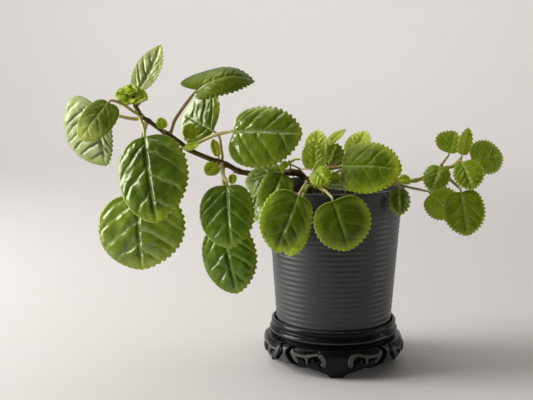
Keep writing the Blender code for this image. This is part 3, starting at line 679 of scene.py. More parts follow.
@dataclass(frozen=True)
class Relief:
    """How a blade is modelled (mm): veins, the quilting between them and the scalloped edge.

    pairs, slope and bend set out the side veins; pitch and tooth are the scallops' spacing and
    depth, and even is 1 for scallops all round; pucker is the fine crinkle between the veins.
    """

    pairs: float = 3.5
    slope: float = 0.25
    bend: float = 0.16
    vein: float = 0.12
    midrib: float = 0.9
    puff: float = 1.3
    rib: float = 0.5
    pitch: float = 4.4
    tooth: float = 1.4
    wave: float = 1.0
    pucker: float = 0.28
    even: float = 0.0
    seed: float = 0.0

    def inputs(self) -> dict[str, float]:
        """The values as inputs of the relief tree."""
        return {"Pairs": self.pairs, "Slope": self.slope, "Bend": self.bend,
                "Vein": self.vein, "Midrib": self.midrib, "Puff": self.puff, "Rib": self.rib,
                "Pitch": self.pitch, "Tooth": self.tooth, "Wave": self.wave,
                "Pucker": self.pucker, "Seed": self.seed}

    def sized(self, length: float) -> "Relief":
        """The same relief, shallower on a short blade."""
        share = 0.3 + 0.7 * min(1.0, length / 48.0)
        return replace(self, puff=self.puff * share, midrib=self.midrib * share,
                       vein=self.vein * share, wave=self.wave * share)


@dataclass(frozen=True)
class LeafFinish:
    """Colours and gloss of a leaf: the blade, its veins, margin and tip, underside and petiole.

    deep and light mottle the blade, halo tints it beside the veins by glow, and shade is painted
    shade that darkens its creases by valley; border is the margin's width, where the margin colour
    is partly its own paler tint and partly painted light let through on the side away from the
    window; through is the share of lit let by.
    """

    name: str
    deep: Colour = (0.046, 0.102, 0.001)
    light: Colour = (0.113, 0.21, 0.002)
    vein: Colour = (0.26, 0.36, 0.06)
    margin: Colour = (0.30, 0.40, 0.025)
    tip: Colour = (0.17, 0.25, 0.015)
    under: Colour = (0.25, 0.34, 0.03)
    petiole: Colour = (0.46, 0.43, 0.13)
    blush: Colour = (0.42, 0.27, 0.12)
    halo: Colour | None = None
    # shade is painted shade, laid into the creases between the quilted panels.
    shade: Colour = (0.05, 0.085, 0.004)
    sheen: Colour = (0.90, 1.0, 0.28)
    tip_from: float = 0.8
    border: float = 7.0
    rimmed: float = 0.6
    veined: float = 0.75
    laterals: float = 0.7
    crease: float = 0.13
    glow: float = 0.35
    valley: float = 0.0
    through: float = 0.0
    lit: Colour = (0.50, 0.62, 0.04)
    rough: float = 0.32
    coat: float = 0.75
    bump: float = 0.5

    def material(self) -> bpy.types.Material:
        """Builds the leaf's material on the attributes that the relief tree stores."""
        net = Surface(self.name)
        place = net.place()
        count, x, s = net.attribute("count"), net.attribute("x"), net.attribute("s")
        rim, side, blade = net.attribute("rim"), net.attribute("side"), net.attribute("blade")
        edge_tint_and_glow = net.attribute("toothed").at_most(1.0)
        near = net.math("PINGPONG", count, 0.5)
        pillow = 4.0 * near * (1.0 - near)
        edge = rim.ramp(1.2, 6.0)
        lines = (near.bell(0.036) * edge * self.laterals).at_least(
            x.bell(0.5) * (1.0 - s.ramp(0.7, 1.0) * 0.6))
        under = 1.0 - side.ramp(-0.4, 0.1)
        blotch = net.noise(place, 70.0, 3.0).ramp(0.3, 0.7)
        speck = net.noise(place, 900.0, 2.0, 0.6)
        colour = net.mix(blotch * 0.6 + speck * 0.4, self.deep, self.light)
        colour = net.mix((1.0 - pillow) * edge * self.glow, colour, self.halo or self.light)
        # Painted shade: the creases beside the side veins are darkened with the shade colour.
        if self.valley:
            dark = near.bell(self.crease) * s.ramp(-0.05, 0.1) * rim.ramp(0.5, 5.0)
            colour = net.mix(dark * self.valley, colour, self.shade)
        colour = net.mix(lines * self.veined, colour, self.vein)
        colour = net.mix(s.ramp(self.tip_from, 1.02) * 0.9, colour, self.tip)
        # The margin band is partly the margin's own paler colour and partly painted light let
        # through the edge on the side away from the window, by edge_tint_and_glow.
        colour = net.mix((1.0 - rim.ramp(0.0, self.border)) * self.rimmed * edge_tint_and_glow,
                         colour, self.margin)
        colour = net.mix((1.0 - rim.ramp(0.1, 0.8)) * 0.7, colour, self.margin)
        below = net.mix(lines * 0.6 + speck * 0.2, self.under, self.vein)
        colour = net.mix(under, colour, below)
        stalk = net.mix(net.noise(place, 55.0, 2.0).ramp(0.4, 0.62) * 0.8,
                        self.petiole, self.blush)
        colour = net.mix(blade.ramp(0.2, 1.0), stalk, colour)
        rough = (self.rough + speck * 0.1 + lines * 0.05 + (1.0 - blade) * 0.2
                 + under * 0.22).at_most(0.95)
        cells = net.get("ShaderNodeTexVoronoi", {"feature": "SMOOTH_F1"},
                        {"Vector": place, "Scale": 620.0, "Smoothness": 0.6}, "Distance")
        grain = net.noise(place, 2400.0, 2.0)
        height = (cells * -0.9 + grain * 0.25) * (0.4 + 0.6 * blade) - lines * 0.8
        return net.finish(
            {"Base Color": colour, "Roughness": rough,
             "Normal": net.bump(height, self.bump, 0.00022)},
            {"Coat Weight": self.coat, "Coat Roughness": 0.12, "IOR": 1.4,
             "Specular Tint": self.sheen},
            (self.through, self.lit) if self.through else None)


@dataclass
class Skin:
    """A closed mesh (mm) and the values that its points carry."""

    points: np.ndarray
    faces: list[tuple[int, ...]]
    layers: dict[str, np.ndarray]


class Foliage:
    """Builds leaves: a fine skin over petiole and blade, then veins and scallops by nodes."""

    half_thickness = 0.34
    petiole_radii = (0.6, 1.0, 1.4)
    petiole_lengths = (9.0, 30.0, 50.0)
    ring_spacing = 1.7
    full_half = 20.0
    hidden_half = 14.0
    # The least half-width of a blade, and the columns and rings of its skin from there up.
    grids = ((15.0, 45, 108), (8.0, 33, 80), (0.0, 21, 48))

    def __init__(self, stems: tuple[Stem, ...]) -> None:
        """Keeps the stems and builds the relief tree."""
        self.stems = {stem.name: stem for stem in stems}
        self.relief = self._relief_tree()

    def _relief_tree(self) -> Recipe:
        """Builds the tree that models the veins, the quilting and the scalloped margin."""
        net = Recipe("leaf_relief", {**Relief().inputs(), "Length": 50.0})
        x, s, wide = net.named("x"), net.named("s"), net.named("wide")
        rim, edge, side = net.named("rim"), net.named("edge"), net.named("side")
        blade, toothed = net.named("blade"), net.named("toothed")
        up, inward = net.named("up", "FLOAT_VECTOR"), net.named("inward", "FLOAT_VECTOR")
        flat = net.get("ShaderNodeCombineXYZ", None,
                       {"X": x, "Y": s * net["Length"], "Z": net["Seed"] * 13.0})
        warp = net.noise(flat, 0.09, 2.0) - 0.5
        reach = s - wide * net["Slope"] - wide * wide * net["Bend"]
        crowd = 0.55 * (1.0 - math.e ** (0.0 - reach.at_least(0.0) / 0.05))
        count = (reach * net["Pairs"] + crowd + x.ramp(-0.01, 0.01) * 0.3
                 + warp * 0.6 + 10.0)
        near = net.math("PINGPONG", count, 0.5)
        gap = near / net["Pairs"] * net["Length"]
        middle = abs(x).ramp(0.2, 2.4)
        ends = s.ramp(-0.3, 0.04) * (1.0 - s.ramp(0.8, 1.0) * 0.8)
        inner = rim.ramp(0.2, 4.0) * blade
        fade = rim.ramp(1.0, 9.0) * 0.7 + 0.3
        swell = 0.4 + net.noise(flat, 0.075, 1.0).ramp(0.3, 0.7) * 0.95
        dome = 4.0 * near * (1.0 - near)
        flank = 1.0 - dome
        pillow = 0.6 - flank * flank * (0.45 + 0.55 * flank)
        half = net.math("PINGPONG", count, 0.25)
        pillow = pillow + (half * (0.5 - half) * 16.0 - 0.5) * 0.16 * abs(x).ramp(3.0, 8.0)
        quilt = net["Puff"] * pillow * inner * fade * swell * middle * ends
        groove = net["Vein"] * gap.bell(0.85) * inner * fade * ends
        cells = net.get("ShaderNodeTexVoronoi", {"feature": "SMOOTH_F1"},
                        {"Vector": flat, "Scale": 0.26, "Smoothness": 0.5}, "Distance")
        centre = net["Midrib"] * x.bell(1.3) * blade * (1.0 - s.ramp(0.75, 1.0) * 0.8)
        crinkle = net["Pucker"] * ((net.noise(flat, 0.42, 3.0) - 0.5) * 1.4
                                   + (net.noise(flat, 0.15, 1.0) - 0.5) * 2.2
                                   - cells * 1.3 + 0.6) * inner
        wave = net["Wave"] * (net.noise(flat, 0.055, 1.0) - 0.5) * 2.0 * blade \
            * (1.0 - rim.ramp(0.0, 12.0)) * toothed
        below = 1.0 - side.ramp(-1.0, 0.0)
        rib = below * (net["Rib"] * x.bell(0.9) * (1.0 - s.ramp(0.2, 1.0) * 0.75) * blade
                       + 0.28 * gap.bell(0.7) * inner * ends)
        rise = (quilt - groove - centre + crinkle + wave - rib) * MM
        notch = 1.0 - abs(net.math("SINE", (edge / net["Pitch"] + 0.5) * math.pi))
        cut = net["Tooth"] * notch * (1.0 - rim.ramp(0.0, 2.6)) * toothed * MM
        shape = net.moved(net["Geometry"], net.vector(
            "ADD", net.vector("SCALE", up, rise), net.vector("SCALE", inward, cut)))
        net.close(net.store(shape, "count", count))
        return net

    def grid(self, leaf: Leaf, across: np.ndarray, shares: np.ndarray
             ) -> tuple[np.ndarray, np.ndarray, np.ndarray]:
        """Points of the blade's middle surface.

        Args:
            leaf: The leaf.
            across: Places from -1 at the left margin to 1 at the right.
            shares: Places from 0 at the base to 1 at the tip.

        Returns:
            For each share and place: the point, x from the midrib and the share along it.
        """
        right, along, up, length = leaf.axes()
        across, share = np.meshgrid(across, shares)
        u = np.abs(across)
        s = share + SWEEP * share * (1 - share) * u ** 1.5
        half = np.where(across > 0, leaf.right, leaf.left)
        width = u * outline(s, leaf.taper)
        x = np.copysign(half * width, across)
        clear = np.maximum(0.0, (half * width - 1.4) / (half - 1.4))
        lobe = leaf.lobe * (half / max(leaf.left, leaf.right)) ** 3
        y = s - 1.6 * lobe * (1 - s) ** 4 * clear
        rise = leaf.bow * 4 * s * (1 - s) + leaf.cup * half * (x / half) ** 2
        points = (np.asarray(leaf.base, float) + right * x[..., None]
                  + along * (y * length)[..., None] + up * rise[..., None])
        return points, x, y

    def rows(self, leaf: Leaf, count: int) -> np.ndarray:
        """Shares whose margins lie the same distance apart."""
        fine = np.concatenate([np.geomspace(0.0005, 0.02, 60)[:-1],
                               np.linspace(0.02, 0.985, 300),
                               1 - np.geomspace(0.015, 0.0012, 40)[1:]])
        margin = self.grid(leaf, np.array((-1.0, 1.0)), fine)[0]
        step = np.linalg.norm(np.diff(margin, axis=0), axis=2).mean(axis=1)
        run = np.concatenate([[0.0], np.cumsum(step)])
        return np.interp(np.linspace(0, run[-1], count), run, fine)

    def petiole(self, leaf: Leaf, spacing: float) -> tuple[np.ndarray, np.ndarray, float]:
        """The petiole's path.

        Args:
            leaf: The leaf.
            spacing: About how far apart the rings are.

        Returns:
            Points from inside the stem to just behind the blade, across and up directions at
            each, and the petiole's radius.
        """
        if not leaf.stem:
            right, along, up, length = leaf.axes()
            rings = 5
            path = np.asarray(leaf.base) - np.outer(np.linspace(1.6, 0.2, rings), along)
            return path, np.tile(np.stack([right, up]), (rings, 1, 1)), self.petiole_radii[0]
        axis, radii = self.stems[leaf.stem].path()
        fine = even_path(axis, len(axis) * 8)
        near = int(np.argmin(np.linalg.norm(fine - np.asarray(leaf.root, float), axis=1)))
        tangent = unit(fine[min(near + 1, len(fine) - 1)] - fine[max(near - 1, 0)])
        thick = np.interp(near / (len(fine) - 1), np.linspace(0, 1, len(radii)), radii)
        right, along, up, length = leaf.axes()
        small = length < 16
        first = np.asarray(leaf.via[0] if leaf.via else leaf.base, float)
        out = first - fine[near]
        out = unit(out - np.dot(out, tangent) * tangent)
        start = fine[near] + out * (thick + 0.4)
        lift = start + out * (1.2 if small else 2.2)
        end = np.asarray(leaf.base, float) - along * max(0.6, 0.02 * length)
        neck = end - (along + up * 0.7) * (0.9 if small else 1.6)
        short = np.linalg.norm(end - start) < 6 and not leaf.via
        middle = [] if short else [lift] + [np.asarray(v, float) for v in leaf.via]
        route = [fine[near] + out * (thick - 0.5)] + [start] + middle + [neck, end]
        run = sum(np.linalg.norm(b - a) for a, b in zip(route, route[1:]))
        path = even_path(route, max(6, int(run / spacing)))
        tangents = unit(np.gradient(path, axis=0))
        frames = np.zeros((len(path), 2, 3))
        last = right
        for i in range(len(path) - 1, -1, -1):
            last = unit(last - np.dot(last, tangents[i]) * tangents[i])
            frames[i] = last, np.cross(last, tangents[i])
        thick = float(np.interp(length, self.petiole_lengths, self.petiole_radii))
        return path, frames, thick

    def skin(self, leaf: Leaf, even: float) -> Skin:
        """Builds the closed skin of one leaf before its relief; even is the relief's."""
        broad = max(leaf.left, leaf.right)
        if leaf.name.startswith("leaf_back"):
            broad = min(broad, self.hidden_half)
        columns, count = next(grid[1:] for grid in self.grids if broad >= grid[0])
        points, layers, ring = self.blade(leaf, columns, count, even)
        path, frames, radius = self.petiole(leaf, self.ring_spacing)
        turn = math.pi - 2 * math.pi * np.arange(ring) / ring
        share = np.linspace(0, 1, len(path))[:, None, None]
        grow = radius * (1 + 0.45 * np.exp(-(share / 0.06) ** 2)
                         - 0.28 * ease(share, 0.7, 1.0))
        stalk = path[:, None] + grow * (frames[:, None, 0] * np.cos(turn)[None, :, None]
                                        + frames[:, None, 1] * np.sin(turn)[None, :, None])
        extra = len(path) * ring
        up = leaf.axes()[2]
        tip = np.asarray(leaf.tip, float)
        points = np.vstack([path[:1], stalk.reshape(-1, 3), points, tip])
        for key, values in layers.items():
            if values.ndim == 2:
                layers[key] = np.vstack([np.tile(up, (extra + 1, 1)), values, up])
            else:
                lead = {"rim": 9.0, "side": 1.0}.get(key, 0.0)
                last = {"s": 1.0, "blade": 1.0}.get(key, 0.0)
                layers[key] = np.concatenate([np.full(extra + 1, lead), values, [last]])
        total = len(points) - 1
        rows = (total - 1) // ring
        faces = [tuple(1 + k for k in face) for face in strip_faces(rows, ring)]
        faces += [(0, 1 + i, 1 + (i + 1) % ring) for i in range(ring)]
        end = 1 + (rows - 1) * ring
        faces += [(total, end + (i + 1) % ring, end + i) for i in range(ring)]
        return Skin(points, outward(points, faces), layers)

    def build(self, name: str, leaves: tuple[Leaf, ...], relief: Relief,
              finish: bpy.types.Material, extra: Skin | None = None) -> bpy.types.Object:
        """Builds one piece from one leaf, or from a few that grow together.

        Args:
            name: The piece's name.
            leaves: Their places, sizes and poses.
            relief: How they are modelled.
            finish: Their material.
            extra: A further skin, such as a bud between them.

        Returns:
            The finished piece.
        """
        skins = [self.skin(leaf, relief.even) for leaf in leaves]
        skins += [extra] if extra else []
        points, faces, start = [], [], 0
        for skin in skins:
            faces += [tuple(start + k for k in face) for face in skin.faces]
            points.append(skin.points)
            start += len(skin.points)
        layers = {key: np.concatenate([skin.layers[key] for skin in skins])
                  for key in skins[0].layers}
        obj = mesh_piece(name, np.vstack(points), faces, layers)
        length = float(np.mean([leaf.axes()[3] for leaf in leaves]))
        made = self.relief.apply(obj, finish, Length=length, **relief.sized(length).inputs())
        for key in ("up", "inward", "edge", "wide"):
            made.data.attributes.remove(made.data.attributes[key])
        broad = max(max(leaf.left, leaf.right) for leaf in leaves)
        rim = made.data.attributes["rim"].data
        values = np.zeros(len(rim), np.float32)
        rim.foreach_get("value", values)
        rim.foreach_set("value", values * max(1.0, self.full_half / broad))
        return made

    def blade(self, leaf: Leaf, columns: int, count: int, even: float
              ) -> tuple[np.ndarray, dict[str, np.ndarray], int]:
        """Rings of the blade: across its upper side and back along its lower side.

        Args:
            leaf: The leaf.
            columns: Points across one side.
            count: Rings from base to tip.
            even: 1 for scallops all round, 0 for few on the side towards the window.

        Returns:
            The points, what the relief tree reads at each, and the points in a ring.
        """
        length, up = leaf.axes()[3], leaf.axes()[2]
        t = np.linspace(-1, 1, columns)
        across = t - 0.06 * np.sin(2 * math.pi * np.abs(t)) * np.sign(t)
        middle, x, y = self.grid(leaf, across, self.rows(leaf, count))
        rim, edge, inward = self.margin(leaf, x, y * length)
        round_off = np.sqrt(1 - (1 - np.minimum(rim / 0.9, 1)) ** 2)
        root = np.exp(-(np.maximum(y, 0) * length / 4.5) ** 2 - (x / 0.95) ** 2)
        thick = (self.half_thickness + 0.5 * root) * round_off
        back = np.arange(columns - 2, 0, -1)
        order = np.concatenate([np.arange(columns), back])
        side = np.concatenate([np.ones(columns), -np.ones(columns - 2)])
        side[[0, columns - 1]] = 0.0
        points = middle[:, order] + up * (thick[:, order] * side)[..., None]
        half = np.where(x > 0, leaf.right, leaf.left)
        right, along = leaf.axes()[:2]
        ways = inward[..., :1] * right + inward[..., 1:] * along
        # lit rises on the side away from the window; through toothed it also weights the margin
        # colour there, a painted glow of light let through.
        lit = 0.2 + ease(-ways[..., 0], -0.55, 0.35)
        toothed = ease(y, 0.02, 0.22) * (1 - ease(y, 0.93, 1.0) * 0.5)
        toothed *= even + (1 - even) * lit
        layers = {"x": x, "s": y, "wide": np.abs(x) / half, "rim": rim, "edge": edge,
                  "toothed": toothed}
        flat = {key: value[:, order].ravel() for key, value in layers.items()}
        flat["side"] = np.tile(side, count)
        flat["blade"] = np.ones(count * len(order))
        flat["up"] = np.tile(up, (count * len(order), 1))
        flat["inward"] = ways[:, order].reshape(-1, 3)
        return points.reshape(-1, 3), flat, len(order)

    @staticmethod
    def margin(leaf: Leaf, x: np.ndarray, y: np.ndarray
               ) -> tuple[np.ndarray, np.ndarray, np.ndarray]:
        """Where points of the blade lie against its margin.

        Args:
            leaf: The leaf.
            x: Distance from the midrib, in millimetres, ring by ring.
            y: Distance along it from the base.

        Returns:
            The distance to the margin, the margin's run from the tip to its nearest point,
            and the direction inwards there.
        """
        rim = np.full(x.shape, 1e9)
        edge = np.zeros(x.shape)
        inward = np.zeros((*x.shape, 2))
        spots = np.stack([x, y], axis=-1).reshape(-1, 2)
        tip = np.array((0.0, np.linalg.norm(np.subtract(leaf.tip, leaf.base))))
        for column, turn in ((0, -1.0), (-1, 1.0)):
            line = np.vstack([np.stack([x[:, column], y[:, column]], axis=-1), tip])[::-1]
            step = np.diff(line, axis=0)
            size = np.linalg.norm(step, axis=1)
            run = np.concatenate([[0.0], np.cumsum(size)])
            way = unit(step)
            normal = np.stack([way[:, 1], -way[:, 0]], axis=-1) * turn
            normal = unit(np.apply_along_axis(
                lambda c: np.convolve(np.pad(c, 2, mode="edge"), np.ones(5) / 5, "valid"),
                0, normal))
            offset = spots[:, None] - line[None, :-1]
            along = np.clip((offset * way).sum(-1), 0, size)
            away = np.linalg.norm(offset - along[..., None] * way, axis=-1)
            best = away.argmin(axis=1)
            rows = np.arange(len(spots))
            found = away[rows, best].reshape(x.shape)
            nearer = found < rim
            rim = np.where(nearer, found, rim)
            edge = np.where(nearer, (run[best] + along[rows, best]).reshape(x.shape), edge)
            inward = np.where(nearer[..., None], normal[best].reshape(*x.shape, 2), inward)
        return rim, edge, inward


class Foliages(Enum):
    """The kinds of leaf on the plant."""

    OLD = "old"
    GLOSSY = "glossy"
    LUSH = "lush"
    OLIVE = "olive"
    SILVER = "silver"
    FADED = "faded"
    FOLDED = "folded"
    CROWN = "crown"
    DUSKY = "dusky"
    PALE = "pale"
    BRIGHT = "bright"
    RIGHT = "right"
    LIME = "lime"
    SUNNY = "sunny"
    YOUNG = "young"
    BUD = "bud"


KIND_OF = (("leaf_left", Foliages.OLD), ("leaf_back", Foliages.OLD),
           ("leaf_crown", Foliages.CROWN), ("leaf_right", Foliages.RIGHT),
           ("bud", Foliages.BUD))

SMOOTH = Relief(puff=0.8, midrib=0.7, vein=0.2, tooth=1.3)
SMALL = Relief(pairs=4.4, slope=0.25, bend=0.25, puff=1.5, midrib=1.0, vein=0.35, pitch=2.9,
               tooth=1.7, wave=1.2, pucker=0.45, even=0.8)
RELIEFS = {
    Foliages.OLD: Relief(puff=1.1),
    Foliages.GLOSSY: Relief(puff=0.8, pairs=3.2, pucker=0.2, tooth=1.6),
    Foliages.LUSH: Relief(pairs=3.3, puff=1.5, pucker=0.34, tooth=1.6, pitch=4.6),
    Foliages.OLIVE: Relief(pairs=3.3, puff=1.4, pucker=0.34, tooth=1.6, pitch=5.0),
    Foliages.SILVER: Relief(pairs=5.4, slope=0.2, bend=0.22, puff=1.3, vein=0.4, tooth=1.1,
                            pitch=3.6),
    Foliages.FADED: replace(SMOOTH, puff=0.4, midrib=0.35, tooth=0.6, even=0.4),
    Foliages.FOLDED: replace(SMOOTH, puff=0.45, pairs=5.5, tooth=1.6, pitch=4.0),
    Foliages.CROWN: Relief(puff=0.25, midrib=0.6, vein=0.2, pitch=3.8, tooth=1.6, even=0.3,
                           pucker=0.22),
    Foliages.DUSKY: Relief(puff=0.55, midrib=0.7, vein=0.1, pitch=3.6, tooth=1.5, even=0.6,
                           pucker=0.2),
    Foliages.PALE: replace(SMALL, pitch=3.2, tooth=1.2, even=0.2, wave=0.5),
    Foliages.BRIGHT: replace(SMALL, pairs=5.0, pitch=3.2, tooth=1.3, wave=0.6),
    Foliages.RIGHT: SMALL,
    Foliages.LIME: replace(SMALL, puff=1.1, pucker=0.35),
    Foliages.SUNNY: SMALL,
    Foliages.YOUNG: replace(SMALL, pairs=5.0, pitch=2.6, tooth=1.2, pucker=0.6, wave=0.8),
    Foliages.BUD: replace(SMALL, pairs=3.5, pitch=2.0, tooth=1.0, rib=0.3, pucker=0.7,
                          even=1.0),
}

FINISHES = {
    Foliages.OLD: LeafFinish("leaf_old_green"),
    Foliages.GLOSSY: LeafFinish("leaf_glossy_green", deep=(0.052, 0.098, 0.00092),
                                light=(0.13, 0.2, 0.0023), margin=(0.38, 0.48, 0.04),
                                border=8.0, rimmed=0.4, coat=1.0),
    Foliages.LUSH: LeafFinish("leaf_lush_green", deep=(0.034, 0.068, 0.001),
                              light=(0.1, 0.17, 0.0045), vein=(0.40, 0.50, 0.14),
                              margin=(0.36, 0.46, 0.03), tip=(0.24, 0.34, 0.02),
                              border=11.0, rough=0.3, coat=0.75),
    Foliages.OLIVE: LeafFinish("leaf_olive_green", deep=(0.065, 0.11, 0.0035),
                               light=(0.18, 0.26, 0.019), vein=(0.48, 0.58, 0.20),
                               margin=(0.38, 0.48, 0.04), tip=(0.26, 0.36, 0.02),
                               border=12.0, rough=0.32, coat=1.0),
    # The pale, whitish colours here are partly painted sheen: the window's gloss laid into the
    # colour, with a low coat.
    Foliages.SILVER: LeafFinish("leaf_silvery_green", deep=(0.24, 0.29, 0.10),
                                light=(0.41, 0.47, 0.21), vein=(0.24, 0.32, 0.07),
                                margin=(0.16, 0.26, 0.02), tip=(0.24, 0.32, 0.05),
                                shade=(0.03, 0.06, 0.003), glow=0.1, valley=1.0, crease=0.17,
                                border=4.0, veined=0.3, coat=0.4),
    Foliages.FADED: LeafFinish("leaf_fading_green", deep=(0.049, 0.084, 0.0018),
                               light=(0.12, 0.18, 0.0044), vein=(0.36, 0.44, 0.10),
                               margin=(0.26, 0.34, 0.03), tip=(0.60, 0.63, 0.17),
                               tip_from=0.4, laterals=1.0, rough=0.5, coat=0.08),
    Foliages.FOLDED: LeafFinish("leaf_folded_green", deep=(0.0945, 0.144, 0.00368),
                                light=(0.184, 0.257, 0.0105), under=(0.24, 0.32, 0.025),
                                vein=(0.34, 0.42, 0.07), margin=(0.2, 0.28, 0.02), rough=0.4,
                                coat=0.5, through=0.22, lit=(0.30, 0.36, 0.04)),
    Foliages.CROWN: LeafFinish("leaf_crown_green", deep=(0.046, 0.084, 0.0006),
                               light=(0.116, 0.186, 0.0016), vein=(0.28, 0.38, 0.05),
                               margin=(0.46, 0.56, 0.04), tip=(0.36, 0.46, 0.025),
                               border=10.0, rimmed=0.75, laterals=0.45, coat=0.12),
    Foliages.DUSKY: LeafFinish("leaf_dusky_green", deep=(0.039, 0.077, 0.00069),
                               light=(0.098, 0.16, 0.0017), vein=(0.34, 0.44, 0.10),
                               margin=(0.42, 0.54, 0.05), tip=(0.16, 0.24, 0.01),
                               border=8.0, rimmed=0.75, veined=0.6, laterals=0.3,
                               glow=0.15, coat=0.32),
    # The whitish light colour is partly painted sheen and partly the leaf's own pale green.
    Foliages.PALE: LeafFinish("leaf_pale_green", deep=(0.35, 0.402, 0.113),
                              light=(0.556, 0.597, 0.319), vein=(0.44, 0.52, 0.12),
                              margin=(0.42, 0.52, 0.06), tip=(0.40, 0.48, 0.05),
                              shade=(0.10, 0.16, 0.01), valley=0.6, coat=0.4),
    # These colours are partly the young leaves' lime and partly painted light, raised past a leaf's
    # own to stand in for light from behind.
    Foliages.BRIGHT: LeafFinish("leaf_bright_green", deep=(0.43, 0.53, 0.010),
                                light=(0.61, 0.70, 0.032), vein=(0.72, 0.77, 0.22),
                                margin=(0.72, 0.77, 0.22), tip=(0.64, 0.70, 0.12),
                                shade=(0.20, 0.32, 0.006), valley=0.5, coat=0.35,
                                through=0.2, lit=(0.86, 0.94, 0.08)),
    Foliages.RIGHT: LeafFinish("leaf_mid_green", deep=(0.14, 0.23, 0.0051),
                               light=(0.3, 0.44, 0.013), halo=(0.38, 0.50, 0.03),
                               vein=(0.62, 0.72, 0.20), margin=(0.62, 0.72, 0.12),
                               tip=(0.38, 0.48, 0.05), border=4.5, rimmed=0.9, glow=0.6,
                               coat=0.25, through=0.18, lit=(0.414, 0.529, 0.0345)),
    Foliages.LIME: LeafFinish("leaf_lime_green", deep=(0.25, 0.37, 0.0078),
                              light=(0.46, 0.6, 0.027), vein=(0.66, 0.74, 0.16),
                              margin=(0.62, 0.70, 0.10), tip=(0.52, 0.62, 0.08), border=5.0,
                              shade=(0.10, 0.17, 0.004), valley=0.5, coat=0.25,
                              through=0.3, lit=(0.60, 0.72, 0.04)),
    Foliages.YOUNG: LeafFinish("leaf_young_green", deep=(0.44, 0.59, 0.016),
                               light=(0.78, 0.95, 0.058), vein=(0.64, 0.72, 0.14),
                               margin=(0.66, 0.74, 0.14), tip=(0.54, 0.64, 0.08), border=4.0,
                               shade=(0.09, 0.15, 0.004), valley=0.6,
                               through=0.35, lit=(0.62, 0.72, 0.05)),
    Foliages.SUNNY: LeafFinish("leaf_sunny_green", deep=(0.24, 0.37, 0.01),
                               light=(0.47, 0.66, 0.023), halo=(0.46, 0.58, 0.04),
                               vein=(0.62, 0.72, 0.20), margin=(0.62, 0.72, 0.12),
                               tip=(0.46, 0.56, 0.05), border=9.0, rimmed=0.85, glow=0.6,
                               coat=0.25, through=0.22, lit=(0.483, 0.598, 0.0345)),
    Foliages.BUD: LeafFinish("leaf_bud_green", deep=(0.38, 0.49, 0.008),
                             light=(0.64, 0.76, 0.022), vein=(0.70, 0.80, 0.10),
                             margin=(0.72, 0.82, 0.12), tip=(0.60, 0.70, 0.03), border=2.0,
                             shade=(0.09, 0.14, 0.003), valley=0.6, rough=0.36, coat=0.1,
                             through=0.15, lit=(0.60, 0.70, 0.02)),
}

# Leaves that aren't of their group's usual kind.
OTHER_KIND = {
    "leaf_left_01": Foliages.LUSH, "leaf_left_02": Foliages.OLIVE,
    "leaf_left_03": Foliages.SILVER, "leaf_left_04": Foliages.FADED,
    "leaf_left_05": Foliages.PALE, "leaf_left_06": Foliages.FOLDED,
    "leaf_left_07": Foliages.LUSH, "leaf_left_08": Foliages.GLOSSY,
    "leaf_crown_01": Foliages.DUSKY, "leaf_crown_02": Foliages.DUSKY,
    "leaf_crown_03": Foliages.OLD, "leaf_crown_11": Foliages.DUSKY,
    "leaf_crown_04": Foliages.YOUNG, "leaf_crown_05": Foliages.BRIGHT,
    "leaf_crown_06": Foliages.YOUNG, "leaf_crown_07": Foliages.LIME,
    "leaf_crown_09": Foliages.BRIGHT, "leaf_crown_12": Foliages.YOUNG,
    "leaf_crown_13": Foliages.DUSKY, "leaf_crown_14": Foliages.LIME,
    "leaf_crown_15": Foliages.DUSKY, "leaf_crown_16": Foliages.BUD,
    "leaf_crown_17": Foliages.BUD, "leaf_right_02": Foliages.BUD,
    "leaf_right_01": Foliages.DUSKY, "leaf_right_06": Foliages.SUNNY,
    "leaf_right_04": Foliages.SUNNY, "leaf_right_05": Foliages.BRIGHT,
    "leaf_right_08": Foliages.LIME,
}


